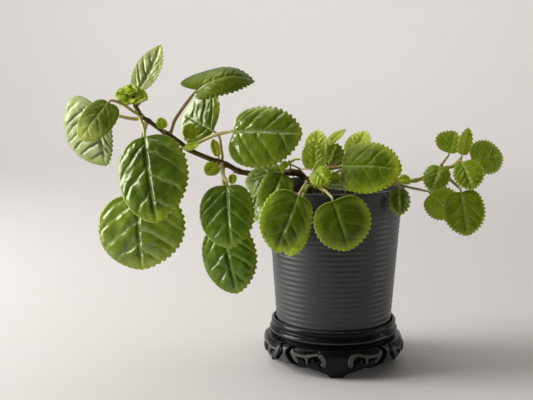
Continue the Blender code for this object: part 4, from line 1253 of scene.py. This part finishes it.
@dataclass
class Plant:
    """All the leaves, and the rosette at the left vine's tip."""

    grown: float = 1.2
    foliage: Foliage = field(default_factory=lambda: Foliage(STEMS))
    finishes: dict[Foliages, bpy.types.Material] = field(default_factory=dict)

    def kind(self, leaf: Leaf) -> Foliages:
        """The kind of a leaf, from its name."""
        if leaf.name in OTHER_KIND:
            return OTHER_KIND[leaf.name]
        return next(kind for start, kind in KIND_OF if leaf.name.startswith(start))

    def build(self) -> None:
        """Builds every leaf and hands it over in its CAD node's place."""
        for kind, finish in FINISHES.items():
            self.finishes[kind] = finish.material()
        for number, leaf in enumerate(LEAVES):
            kind = self.kind(leaf)
            relief = replace(RELIEFS[kind], seed=float(number))
            piece = self.foliage.build(f"ivy_{leaf.name}", (leaf,), relief,
                                       self.finishes[kind])
            slot = "leaf_deep" if leaf.name.startswith(("leaf_left", "leaf_back")) else "leaf"
            hand_over(piece, "leaf_young" if kind is Foliages.BUD and "bud" in leaf.name
                      else slot, leaf.name)
        self.rosette()

    def rosette(self) -> None:
        """Builds the crinkled young leaves round the bud at the tip."""
        centre = np.asarray(ROSETTE_CENTRE)
        young = []
        for k, (way, face, length, half) in enumerate(ROSETTE):
            way = unit(way)
            young.append(Leaf(f"young_{k}", "", None, (), tuple(centre + way * 1.6),
                              tuple(centre + way * length * self.grown), face,
                              half * self.grown, half * self.grown, 1.6, 0.2, 0.0, 0.0))
        relief = replace(RELIEFS[Foliages.BUD], seed=71.0, wave=1.6, puff=1.8, pairs=4.5)
        piece = self.foliage.build("ivy_rosette", tuple(young), relief,
                                   self.finishes[Foliages.YOUNG], self.hub(centre, 2.5))
        hand_over(piece, "leaf_young", "rosette_left")

    def hub(self, centre: np.ndarray, radius: float) -> Skin:
        """A small ball between the young leaves, which carries the same values as they do."""
        rows, around = 14, 24
        tilt = np.linspace(0, math.pi, rows)
        ball = np.stack([radius * np.sin(tilt), radius * np.cos(tilt)], axis=1)
        points, faces, _ = lathe(ball, around)
        count = len(points)
        layers = {key: np.zeros(count) for key in
                  ("x", "s", "wide", "rim", "edge", "toothed", "side", "blade")}
        layers["rim"] += 5.0
        layers["side"] += 1.0
        layers["up"] = np.zeros((count, 3))
        layers["inward"] = np.zeros((count, 3))
        return Skin(points + centre, outward(points, faces), layers)


# --------------------------------------------
# Vines
# --------------------------------------------
@dataclass(frozen=True)
class VineFinish:
    """Brown, woody skin that turns green between two shares of the stem's run, turns."""

    name: str
    wood: Colour = (0.14, 0.098, 0.022)
    dark: Colour = (0.06, 0.036, 0.010)
    green: Colour = (0.40, 0.42, 0.08)
    turns: tuple[float, float] = (0.95, 1.2)

    def material(self) -> bpy.types.Material:
        """Builds the material; run goes from 0 in the soil to 1 at the tip."""
        net = Surface(self.name)
        place, run = net.place(), net.attribute("run")
        patch = net.noise(place, 160.0, 3.0)
        fleck = net.noise(place, 1400.0, 2.0)
        bark = net.mix(fleck * 0.5 + patch * 0.5, self.dark, self.wood)
        colour = net.mix((run + (patch - 0.5) * 0.25).ramp(*self.turns), bark, self.green)
        height = net.noise(place, 1100.0, 3.0) + net.attribute("node") * 0.5
        return net.finish({"Base Color": colour, "Roughness": 0.42 + fleck * 0.2,
                           "Normal": net.bump(height, 0.5, 0.0002)},
                          {"Specular IOR Level": 0.3, "Specular Tint": (0.95, 0.95, 0.6)})


@dataclass
class Vines:
    """The four stems, swept along their axes and swollen where leaves leave them."""

    stout: float = 1.2
    swell: float = 0.5
    reach: float = 1.7
    spacing: float = 0.9

    def tree(self) -> Recipe:
        """Builds the sweep: a round section along the path, with a slightly uneven skin."""
        net = Recipe("vine_sweep", {"Sides": 22, "Uneven": 0.16})
        curve = net.get("GeometryNodeMeshToCurve", None, {"Mesh": net["Geometry"]}, "Curve")
        curve = net.get("GeometryNodeSetCurveRadius", None,
                        {"Curve": curve, "Radius": net.named("thick") * MM})
        ring = net.get("GeometryNodeCurvePrimitiveCircle", None,
                       {"Resolution": net["Sides"], "Radius": 1.0})
        tube = net.node("GeometryNodeCurveToMesh", None,
                        {"Curve": curve, "Profile Curve": ring, "Fill Caps": True})
        if "Scale" in tube.inputs:
            net.tree.links.new((net.named("thick") * MM).socket, tube.inputs["Scale"])
        place = net.get("GeometryNodeInputPosition")
        way = net.get("GeometryNodeInputNormal", None, None, "Normal")
        rough = (net.noise(place, 260.0, 2.0) - 0.5) * net["Uneven"] * 2.0 * MM
        net.close(net.moved(Sig(net, tube.outputs[0]), net.vector("SCALE", way, rough)))
        return net

    def build(self) -> None:
        """Builds each stem and hands it over."""
        tree = self.tree()
        woody = VineFinish("vine_bark").material()
        young = VineFinish("vine_young", turns=(-0.2, 0.6)).material()
        for stem in STEMS:
            axis, radii = stem.path()
            run = np.linalg.norm(np.diff(axis, axis=0), axis=1).sum()
            path = even_path(axis, int(run / self.spacing))
            share = np.linspace(0, 1, len(path))
            thick = np.interp(share, np.linspace(0, 1, len(radii)), radii)
            node = np.zeros(len(path))
            for leaf in LEAVES:
                if leaf.stem == stem.name:
                    away = np.linalg.norm(path - np.asarray(leaf.root), axis=1)
                    at = np.abs(np.arange(len(path)) - away.argmin()) * self.spacing
                    node = np.maximum(node, np.exp(-(at / self.reach) ** 2))
            thick = thick * self.stout + self.swell * node
            obj = mesh_piece(f"ivy_{stem.name}", path, [],
                             {"thick": thick, "run": share, "node": node})
            obj.data.edges.add(len(path) - 1)
            obj.data.edges.foreach_set("vertices", np.stack(
                [np.arange(len(path) - 1), np.arange(1, len(path))], axis=1).ravel())
            finish = woody if stem.name == "stem_left" else young
            hand_over(tree.apply(obj, finish), "stem", stem.name)


# --------------------------------------------
# Pot and soil
# --------------------------------------------
@dataclass(frozen=True)
class GlazeFinish:
    """Dark grey satin ceramic with faint mottling, a little dust and painted shade in the rib
    grooves.
    """

    name: str
    body: Colour = (0.026, 0.027, 0.027)
    pale: Colour = (0.039, 0.040, 0.040)
    # dark is painted shade for the rib grooves.
    dark: Colour = (0.018, 0.019, 0.019)

    def material(self) -> bpy.types.Material:
        """Builds the material; rib is the height of the ribs' wave from -1 to 1."""
        net = Surface(self.name)
        place, rib = net.place(), net.attribute("rib")
        cloud = net.noise(place, 38.0, 4.0, 0.6)
        speck = net.noise(place, 1600.0, 2.0, 0.7)
        colour = net.mix(cloud.ramp(0.35, 0.75) * 0.6 + speck.ramp(0.5, 0.8) * 0.3,
                         self.body, self.pale)
        # Painted shade: darker in the rib grooves, where rib is below zero.
        colour = net.mix((0.0 - rib).ramp(0.3, 1.0) * 0.4, colour, self.dark)
        rough = 0.36 + cloud * 0.1 + speck * 0.06
        height = speck * 0.4 + net.noise(place, 420.0, 3.0) * 0.8
        return net.finish({"Base Color": colour, "Roughness": rough,
                           "Normal": net.bump(height, 0.35, 0.00012)},
                          {"Coat Weight": 0.15, "Coat Roughness": 0.25})


@dataclass
class Pot:
    """The tapered pot: thin lip, soft horizontal ribs down to the foot (mm)."""

    bottom: float = 29.3
    rim: float = 134.6
    foot_radius: float = 43.0
    rim_radius: float = 50.7
    lip_radius: float = 51.9
    wall: float = 3.0
    pitch: float = 3.85
    depth: float = 0.17
    ribs_low: float = 31.0
    ribs_high: float = 131.0
    under_lip: float = 131.8
    rows: int = 214
    around: int = 160

    def radius(self, height: Any) -> Any:
        """The wall's outer radius at a height."""
        share = (height - self.bottom) / (self.rim - self.bottom)
        return self.foot_radius + (self.rim_radius - self.foot_radius) * share

    def profile(self) -> tuple[np.ndarray, np.ndarray]:
        """The profile from the floor inside, over the lip and down to the foot.

        Returns:
            Its points, and 1 for each that carries ribs.
        """
        floor = self.bottom + 4.0
        inside = rounded([(self.radius(floor) - self.wall - 6.0, floor),
                          (self.radius(floor) - self.wall, floor),
                          (self.radius(floor + 5.0) - self.wall, floor + 5.0)])
        bore = [(self.radius(z) - self.wall, z) for z in (60.0, 90.0, 115.0, 124.0, 130.0)]
        lip = rounded([(self.rim_radius - self.wall + 0.1, self.rim - 1.4),
                       (self.rim_radius - self.wall + 0.7, self.rim),
                       (self.lip_radius, self.rim), (self.lip_radius, self.rim - 2.1),
                       (self.radius(self.under_lip), self.under_lip)], 3)
        heights = np.linspace(131.2, self.bottom + 1.4, self.rows)
        outer = np.stack([self.radius(heights), heights], axis=1)
        foot = rounded([(self.foot_radius + 0.08, self.bottom + 1.1),
                        (self.foot_radius, self.bottom), (self.foot_radius - 2.5, self.bottom)])
        parts = [[(0.0, floor)], [(20.0, floor)], inside, bore, lip, outer, foot,
                 [(20.0, self.bottom)], [(0.0, self.bottom)]]
        ribbed = np.concatenate([np.full(len(p), float(p is outer)) for p in parts])
        return np.vstack([np.asarray(p, float) for p in parts]), ribbed

    def tree(self) -> Recipe:
        """Builds the tree that rolls the ribs into the wall."""
        net = Recipe("pot_ribs", {"Pitch": self.pitch, "Depth": self.depth,
                                  "Low": self.ribs_low, "High": self.ribs_high})
        place = net.get("GeometryNodeInputPosition")
        parts = net.node("ShaderNodeSeparateXYZ", None, {"Vector": place})
        x, y, z = (Sig(net, s) for s in parts.outputs)
        height = z / MM
        away = net.vector("NORMALIZE", net.get(
            "ShaderNodeCombineXYZ", None,
            {"X": x - POT_AXIS[0] * MM, "Y": y - POT_AXIS[1] * MM, "Z": 0.0}))
        wave = net.math("COSINE", (height - net["Low"]) / net["Pitch"] * (2 * math.pi))
        worn = 1.0 - (height - net["High"] + 24.0).ramp(0.0, 16.0) * 0.72
        uneven = 0.8 + (net.noise(place, 26.0, 2.0) - 0.5) * 0.8
        ends = (height - net["Low"]).ramp(0.0, 3.0) * (net["High"] - height).ramp(0.0, 2.0)
        rib = wave * worn * ends * net.named("ribbed")
        shape = net.moved(net["Geometry"], net.vector(
            "SCALE", away, rib * uneven * net["Depth"] * MM))
        net.close(net.store(shape, "rib", rib))
        return net

    def build(self) -> None:
        """Builds the pot and hands it over."""
        profile, ribbed = self.profile()
        points, faces, place = lathe(profile, self.around)
        obj = mesh_piece("pot_ribbed", points, outward(points, faces),
                         {"ribbed": ribbed[place]})
        made = self.tree().apply(obj, GlazeFinish("pot_glaze").material())
        hand_over(made, "pot_grey", "pot")


@dataclass(frozen=True)
class SoilFinish:
    """Damp potting soil; pale is the colour of its few light crumbs."""

    name: str
    dark: Colour = (0.012, 0.008, 0.005)
    brown: Colour = (0.05, 0.032, 0.018)
    pale: Colour = (0.32, 0.27, 0.2)

    def material(self) -> bpy.types.Material:
        """Builds the material; tone is a random value from 0 to 1 of each crumb."""
        net = Surface(self.name)
        place, tone = net.place(), net.attribute("tone")
        crumb = net.noise(place, 500.0, 4.0, 0.7)
        colour = net.mix(crumb.ramp(0.3, 0.8) * 0.6 + tone * 0.4, self.dark, self.brown)
        colour = net.mix(tone.ramp(0.93, 0.95), colour, self.pale)
        return net.finish({"Base Color": colour, "Roughness": 0.8 + crumb * 0.18,
                           "Normal": net.bump(net.noise(place, 1500.0, 3.0), 0.8, 0.0006)},
                          {"Specular IOR Level": 0.3})


@dataclass
class Soil:
    """The soil's body and the crumbs on top of it (mm)."""

    top: float = 125.0
    low: float = 33.6
    gap: float = 0.3
    crumbs: int = 1500
    rings: int = 44
    around: int = 96
    pot: Pot = field(default_factory=Pot)

    def tree(self) -> Recipe:
        """Builds the tree that roughens the top and scatters crumbs over it."""
        net = Recipe("soil_crumbs", {"Density": 200000.0, "Size": 1.4, "Seed": 4})
        place = net.get("GeometryNodeInputPosition")
        facing = net.get("GeometryNodeInputNamedAttribute", {"data_type": "FLOAT"},
                         {"Name": "top"}, "Attribute")
        lump = (net.noise(place, 90.0, 4.0, 0.65) - 0.5) * 2.4 * MM * facing
        body = net.moved(net["Geometry"], net.get("ShaderNodeCombineXYZ", None, {"Z": lump}))
        body = net.store(body, "tone", net.noise(place, 300.0, 1.0) * 0.8)
        spots = net.get("GeometryNodeDistributePointsOnFaces", None,
                        {"Mesh": body, "Density": net["Density"] * facing,
                         "Seed": net["Seed"]}, "Points")
        ball = net.get("GeometryNodeMeshIcoSphere", None,
                       {"Radius": MM, "Subdivisions": 1}, "Mesh")
        size = net.get("FunctionNodeRandomValue", {"data_type": "FLOAT"},
                       {"Min": 0.25, "Max": 1.0, "Seed": 3})
        turn = net.get("FunctionNodeRandomValue", {"data_type": "FLOAT_VECTOR"},
                       {"Min": (0.0, 0.0, 0.0), "Max": (6.28, 6.28, 6.28), "Seed": 8})
        long = net.get("ShaderNodeCombineXYZ", None,
                       {"X": size * net["Size"], "Y": size * net["Size"] * 0.7,
                        "Z": size * net["Size"] * 0.55})
        grains = net.get("GeometryNodeInstanceOnPoints", None,
                         {"Points": spots, "Instance": ball, "Rotation": turn,
                          "Scale": long})
        tone = net.get("FunctionNodeRandomValue", {"data_type": "FLOAT"}, {"Seed": 21})
        grains = net.get("GeometryNodeStoreNamedAttribute",
                         {"data_type": "FLOAT", "domain": "INSTANCE"},
                         {"Geometry": grains, "Name": "tone", "Value": tone})
        both = net.node("GeometryNodeJoinGeometry")
        net.tree.links.new(grains.socket, both.inputs[0])
        net.tree.links.new(body.socket, both.inputs[0])
        net.close(Sig(net, both.outputs[0]))
        return net

    def build(self) -> None:
        """Builds the soil and hands it over."""
        wall = self.pot.wall + self.gap
        heights = [(self.pot.radius(self.low + 2.5) - wall - 0.1, self.low + 2.5),
                   (self.pot.radius(self.low) - self.pot.wall - 2.4, self.low), (0.0, self.low)]
        edge = self.pot.radius(self.top) - wall - 0.1
        radii = np.linspace(0.0, edge, self.rings)
        crest = self.top + 1.0 - 2.0 * (radii / edge) ** 2
        profile = np.vstack([np.stack([radii, crest], axis=1), heights])
        points, faces, place = lathe(profile, self.around)
        away = np.hypot(points[:, 0], points[:, 1])
        top = np.where(place < self.rings, 1.0, 0.0) * (1 - ease(away, edge - 2.0, edge - 0.2))
        obj = mesh_piece("soil_crumbly", points, outward(points, faces), {"top": top})
        area = math.pi * (edge * MM) ** 2
        made = self.tree().apply(obj, SoilFinish("soil_damp").material(),
                                 Density=self.crumbs / area)
        hand_over(made, "soil", "soil")


# --------------------------------------------
# Stand
# --------------------------------------------
@dataclass(frozen=True)
class WoodFinish:
    """Black stained, hand-polished wood with fine grain; raised parts paler, partly worn and partly
    a painted highlight.
    """

    name: str
    stain: Colour = (0.0045, 0.0042, 0.0042)
    worn: Colour = (0.105, 0.098, 0.090)
    grain: Colour = (0.009, 0.008, 0.0075)

    def material(self) -> bpy.types.Material:
        """Builds the material; raised is how proud the carving stands, from -1 to 1; raised parts
        turn paler, partly wear and partly a painted highlight.
        """
        net = Surface(self.name)
        place, raised = net.place(), net.attribute("raised")
        long = net.vector("MULTIPLY", place, (1.0, 1.0, 7.0))
        fibre = net.noise(long, 420.0, 4.0, 0.6)
        cloud = net.noise(place, 90.0, 3.0)
        colour = net.mix(fibre.ramp(0.45, 0.75), self.stain, self.grain)
        # Raised parts take the worn colour: partly wear and dust, partly a painted highlight where
        # the carving catches the light.
        proud = raised.ramp(0.3, 0.8)
        colour = net.mix(proud * (0.6 + 0.4 * cloud.ramp(0.3, 0.7)), colour, self.worn)
        rough = 0.24 + fibre * 0.1 + cloud * 0.06 + proud * 0.2
        height = fibre * 0.7 + net.noise(place, 700.0, 2.0) * 0.6
        return net.finish({"Base Color": colour, "Roughness": rough,
                           "Normal": net.bump(height, 0.45, 0.00015)},
                          {"Specular IOR Level": 0.08, "Coat Weight": 0.22,
                           "Coat Roughness": 0.06})


@dataclass(frozen=True)
class Stroke:
    """One cut or raised line of the carving.

    points are places on one half of a quarter: degrees from the quarter's middle, and height.
    """

    points: tuple[tuple[float, float], ...]
    radius: float
    height: float


@dataclass
class Stand:
    """The turned board and the carved ring of four feet (mm)."""

    turned: float = 3.5
    board_bottom: float = 21.9
    top: float = 21.6
    seat: float = 29.0
    columns: int = 212
    face_rows: int = 68
    around: int = 168
    core: float = 30.0
    beads: tuple[float, ...] = (33.8, 25.8)
    beads_from: float = 44.5
    board: tuple[tuple[float, float], ...] = (
        (44.0, 29.0), (44.3, 33.2), (45.2, 34.0), (46.5, 33.6), (47.2, 32.2), (47.0, 30.3),
        (46.0, 29.4), (46.4, 28.6), (47.9, 27.6), (48.5, 25.8), (47.8, 24.0), (46.2, 23.3),
        (46.2, 21.9))
    front: tuple[tuple[float, float], ...] = (
        (49.4, 21.6), (51.2, 20.4), (52.3, 17.8), (52.6, 14.0), (52.1, 10.4), (50.6, 7.0),
        (48.6, 4.0), (47.2, 1.8), (47.0, 0.0))
    back: tuple[tuple[float, float], ...] = (
        (43.4, 0.0), (43.4, 3.0), (45.0, 8.0), (46.0, 13.0), (45.6, 17.0), (41.0, 18.5),
        (41.0, 21.6))
    edge: tuple[tuple[float, float], ...] = (
        (0.0, 0.0), (5.4, 0.0), (6.2, 0.9), (7.4, 2.0), (10.0, 3.3), (15.0, 5.0), (19.5, 6.4),
        (24.0, 7.6), (29.0, 7.0), (33.0, 6.6), (37.0, 8.4), (42.0, 8.2), (45.0, 7.3))
    carving: tuple[Stroke, ...] = (
        Stroke(((37.6, 19.3), (35.0, 17.0), (30.5, 16.3), (25.5, 16.4), (20.5, 17.5),
                (15.5, 18.3), (12.4, 17.8)), 1.1, 1.0),
        Stroke(((12.6, 17.2), (10.8, 15.2), (10.4, 13.0), (11.0, 11.2)), 1.9, 1.0),
        Stroke(((36.8, 17.2), (34.9, 14.4), (32.6, 12.0)), 1.5, 1.0),
        Stroke(((24.6, 15.8), (23.9, 13.9), (24.0, 12.2)), 1.15, 1.0),
        Stroke(((30.2, 14.9), (27.6, 14.3), (26.2, 12.8), (25.9, 11.0)), 0.5, -2.2),
        Stroke(((22.4, 12.4), (20.9, 15.1), (17.2, 16.6), (14.3, 15.4), (13.3, 13.2),
                (14.3, 11.0), (12.6, 9.4)), 0.55, -2.6),
        Stroke(((16.8, 14.6), (16.0, 13.9)), 1.1, -2.6),
        Stroke(((26.0, 18.4), (20.5, 19.3), (15.0, 20.2)), 0.4, -0.9),
        Stroke(((38.0, 21.6), (41.2, 18.6), (42.0, 16.6), (40.0, 13.8), (36.6, 10.8),
                (33.4, 9.8)), 0.95, -3.8))

    def relief(self, angle: np.ndarray, height: np.ndarray) -> tuple[np.ndarray, np.ndarray]:
        """How far the carving stands out of the ring's face.

        Args:
            angle: Degrees from the quarter's middle, without sign.
            height: Heights of the same points.

        Returns:
            The offset, and from -1 to 1 how raised or cut each point is; on the pillars it is
            partly a painted highlight.
        """
        spots = np.stack([angle * 0.91, height], axis=-1)
        rise, cut = np.zeros(angle.shape), np.zeros(angle.shape)
        for stroke in self.carving:
            line = smooth_path([(a * 0.91, z, 0.0) for a, z in stroke.points], 6)[:, :2]
            step = np.diff(line, axis=0)
            size = np.maximum((step ** 2).sum(-1), 1e-9)
            offset = spots[..., None, :] - line[:-1]
            along = np.clip((offset * step).sum(-1) / size, 0, 1)
            away = np.linalg.norm(offset - along[..., None] * step, axis=-1).min(axis=-1)
            shape = 1 - ease(away, stroke.radius - 0.45, stroke.radius + 0.45)
            if stroke.height > 0:
                rise = np.maximum(rise, shape * stroke.height)
            else:
                cut = np.minimum(cut, shape * stroke.height)
        broad = 2.6 + 6.5 * (1 - ease(height, 9.5, 16.5)) + 3.0 * ease(height, 17.5, 21.0)
        pillar = np.sqrt(np.maximum(0.0, 1 - ((45.0 - angle) / broad) ** 2))
        pillar *= ease(height, 7.0, 10.0) * (1 - ease(height, 20.0, 21.4))
        # On the pillars the tone is lifted by 0.62 * pillar so they turn pale grey: partly a
        # painted highlight.
        tone = rise + np.minimum(cut / 2.0, 0.0)
        rise = np.maximum(rise * (cut > -0.4), 1.4 * pillar)
        return rise + cut, np.clip(np.maximum(tone, 0.62 * pillar * (cut > -0.4)), -1, 1)

    def quarter(self) -> tuple[np.ndarray, list[tuple[int, ...]], np.ndarray]:
        """A quarter of the ring, open at both ends.

        Returns:
            Its points about the front, its faces, and how raised each point is.
        """
        front = rounded(self.front, 2)
        inner = rounded(self.back, 2)
        face_order = np.argsort(front[:, 1])
        back_order = np.argsort(inner[:, 1])
        angles = np.linspace(-45, 45, self.columns)
        edge = np.asarray(self.edge)
        rings, tones = [], []
        for angle in angles:
            low = float(np.interp(abs(angle), edge[:, 0], edge[:, 1]))
            t = np.linspace(0, 1, self.face_rows)
            z = self.top - (self.top - low) * t
            r = np.interp(z, front[face_order, 1], front[face_order, 0])
            out, tone = self.relief(np.full(len(z), abs(angle)), z)
            fade = ease(t, 0.0, 0.06) * (1 - ease(t, 0.93, 1.0))
            zi = np.linspace(low, self.top, 18)
            ri = np.interp(zi, inner[back_order, 1], inner[back_order, 0])
            r = np.maximum(r + out * fade, np.interp(z, zi, ri) + 1.6)
            soft = 0.35 * (ease(t, 0.0, 0.02) * (1 - ease(t, 0.98, 1.0)) - 1)
            ring = np.vstack([np.stack([r + soft, z], axis=1), np.stack([ri, zi], axis=1)])
            turn = math.radians(angle)
            rings.append(np.stack([ring[:, 0] * math.sin(turn), -ring[:, 0] * math.cos(turn),
                                   ring[:, 1]], axis=1))
            tones.append(np.concatenate([tone * fade, np.full(len(zi), -0.6)]))
        points = np.vstack(rings)
        faces = strip_faces(len(rings), len(rings[0]))
        return points, faces, np.concatenate(tones)

    def tree(self) -> Recipe:
        """Builds the tree that repeats the carved quarter round the axis and joins the four."""
        net = Recipe("stand_ring", {"Quarters": 4, "Turned": 3.5, "Join": 0.00002})
        line = net.get("GeometryNodeMeshLine", None,
                       {"Count": net["Quarters"], "Offset": (0.0, 0.0, 0.0)})
        index = net.get("GeometryNodeInputIndex")
        angle = (index * 90.0 + net["Turned"]) * (math.pi / 180)
        turn = net.get("ShaderNodeCombineXYZ", None, {"Z": angle})
        centre = tuple(POT_AXIS * MM)
        home = net.get("GeometryNodeTransform", None,
                       {"Geometry": net["Geometry"],
                        "Translation": tuple(-c for c in centre)})
        copies = net.get("GeometryNodeInstanceOnPoints", None,
                         {"Points": line, "Instance": home, "Rotation": turn})
        whole = net.get("GeometryNodeRealizeInstances", None, {"Geometry": copies})
        whole = net.get("GeometryNodeMergeByDistance", None,
                        {"Geometry": whole, "Distance": net["Join"]})
        net.close(net.get("GeometryNodeTransform", None,
                          {"Geometry": whole, "Translation": centre}))
        return net

    def build(self) -> None:
        """Builds the board and the ring of feet and hands them over."""
        wood = WoodFinish("black_stained_wood").material()
        profile = np.vstack([[(0.0, self.seat), (self.core, self.seat)],
                             rounded(self.board, 3),
                             [(self.core, self.board_bottom), (0.0, self.board_bottom)]])
        points, faces, place = lathe(profile, self.around)
        proud = np.zeros(len(profile))
        heights = profile[:, 1]
        for at in self.beads:
            # The beads count as raised, so they turn paler: partly wear, partly a painted
            # highlight.
            proud = np.maximum(proud, np.exp(-((heights - at) / 0.9) ** 2))
        proud *= profile[:, 0] > self.beads_from
        board = mesh_piece("stand_board_turned", points, outward(points, faces),
                           {"raised": proud[place] * 0.6})
        board.data.materials.append(wood)
        hand_over(board, "black_wood", "stand_board")
        points, faces, tones = self.quarter()
        quarter = mesh_piece("stand_ring_carved", points, faces, {"raised": tones})
        ring = self.tree().apply(quarter, wood, Turned=self.turned)
        self.face_out(ring)
        hand_over(ring, "black_wood", "stand_leg_front", "stand_leg_right",
                  "stand_leg_back", "stand_leg_left")

    @staticmethod
    def face_out(obj: bpy.types.Object) -> None:
        """Turns a closed mesh's faces outwards."""
        shape = bmesh.new()
        shape.from_mesh(obj.data)
        bmesh.ops.recalc_face_normals(shape, faces=shape.faces)
        shape.to_mesh(obj.data)
        shape.free()


# --------------------------------------------
# Studio
# --------------------------------------------
@dataclass(frozen=True)
class Lamp:
    """A soft rectangular light (metres): where it stands, what it faces, its size and power."""

    name: str
    place: Point
    target: Point
    size: tuple[float, float]
    power: float
    colour: Colour = (1.0, 1.0, 1.0)


@dataclass
class Studio:
    """A pale floor that curves up behind the plant, the lights and the camera (metres)."""

    tone: Colour = (0.70, 0.672, 0.648)
    half_width: float = 5.0
    front: float = -5.0
    bend: float = 1.3
    bend_radius: float = 1.2
    height: float = 3.2
    dim: Colour = (0.095, 0.09, 0.082)
    bright: Colour = (0.44, 0.417, 0.388)
    lens: float = 64.165
    camera_offset: Point = (0.0, -0.7049, 0.2316)
    pitch: float = 8.8
    yaw: float = 4.15
    lamps: tuple[Lamp, ...] = (
        Lamp("left_window", (-1.15, -0.12, 0.50), (0.0, 0.0, 0.10), (0.65, 1.0), 23.2),
        Lamp("wall_lamp", (-0.30, 1.35, 1.6), (-0.20, 2.38, 0.38), (4.2, 0.5), 32.0),
        Lamp("right_fill", (1.15, 0.05, 0.20), (0.10, 0.0, 0.14), (0.5, 0.36), 1.7),
        Lamp("top_softbox", (-0.40, 0.15, 1.35), (-0.05, 0.0, 0.1), (0.9, 0.7), 4.0),
    )

    def backdrop(self) -> None:
        """Builds the sweep: a floor that runs into a wall behind the plant."""
        turn = np.linspace(0, math.pi / 2, 32)
        run = [(self.front, 0.0), (-1.0, 0.0)]
        run += [(self.bend + self.bend_radius * math.sin(a),
                 self.bend_radius * (1 - math.cos(a))) for a in turn]
        run += [(self.bend + self.bend_radius, self.height)]
        across = np.linspace(-self.half_width, self.half_width, 9)
        points = [(float(x), float(y), float(z)) for y, z in run for x in across]
        faces = [face[::-1] for face in strip_faces(len(run), len(across), closed=False)]
        mesh = bpy.data.meshes.new("backdrop")
        mesh.from_pydata(points, [], faces)
        mesh.shade_smooth()
        sweep = bpy.data.objects.new("backdrop", mesh)
        bpy.context.scene.collection.objects.link(sweep)
        net = Surface("pale_paper")
        cloud = net.noise(net.place(), 2.0, 2.0)
        darker = tuple(c * 0.97 for c in self.tone)
        mesh.materials.append(net.finish(
            {"Base Color": net.mix(cloud, self.tone, darker), "Roughness": 0.9},
            {"Specular IOR Level": 0.2}))
        sweep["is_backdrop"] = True

    def lights(self) -> None:
        """Builds the lamps, and the soft light of the room, brighter behind the plant."""
        for lamp in self.lamps:
            data = bpy.data.lights.new(lamp.name, "AREA")
            data.shape = "RECTANGLE"
            data.size, data.size_y = lamp.size
            data.energy, data.color = lamp.power, lamp.colour
            obj = bpy.data.objects.new(lamp.name, data)
            obj.location = lamp.place
            way = Vector(lamp.target) - Vector(lamp.place)
            obj.rotation_euler = way.to_track_quat("-Z", "Y").to_euler()
            obj.visible_camera = False
            bpy.context.scene.collection.objects.link(obj)
        world = bpy.data.worlds.new("room")
        world.use_nodes = True
        net = Net(world.node_tree)
        net.tree.nodes.clear()
        way = net.get("ShaderNodeTexCoord", None, None, "Generated")
        behind = net.vector("DOT_PRODUCT", way, (-0.45, 0.85, 0.25), out="Value")
        light = net.node("ShaderNodeBackground", None,
                         {"Color": net.mix(behind.ramp(-0.2, 0.9), self.dim, self.bright)})
        net.node("ShaderNodeOutputWorld", None, {"Surface": light.outputs[0]})
        bpy.context.scene.world = world

    def camera(self) -> None:
        """Builds the camera in front of the pot, a little above it."""
        data = bpy.data.cameras.new("camera")
        data.lens, data.sensor_width = self.lens, 36.0
        data.clip_start, data.clip_end = 0.02, 20.0
        obj = bpy.data.objects.new("camera", data)
        obj.location = POT_AXIS * MM + np.array(self.camera_offset)
        obj.rotation_euler = (math.radians(90 - self.pitch), 0.0, math.radians(self.yaw))
        bpy.context.scene.collection.objects.link(obj)
        bpy.context.scene.camera = obj

    def build(self) -> None:
        """Builds the camera, the lights and the backdrop."""
        self.camera()
        self.lights()
        self.backdrop()
        bpy.context.scene.view_settings.view_transform = "Standard"


def main() -> None:
    """Builds the studio and every piece, then logs the triangles in all."""
    logging.basicConfig(level=logging.INFO, format="%(message)s", stream=sys.stdout)
    Studio().build()
    Stand().build()
    Pot().build()
    Soil().build()
    Vines().build()
    Plant().build()
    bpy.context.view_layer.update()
    meshes = [piece.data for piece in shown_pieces() if piece.type == "MESH"]
    triangles = sum(len(mesh.loops) - 2 * len(mesh.polygons) for mesh in meshes)
    LOG.info("%d triangles in all", triangles)


if __name__ == "__main__":
    main()
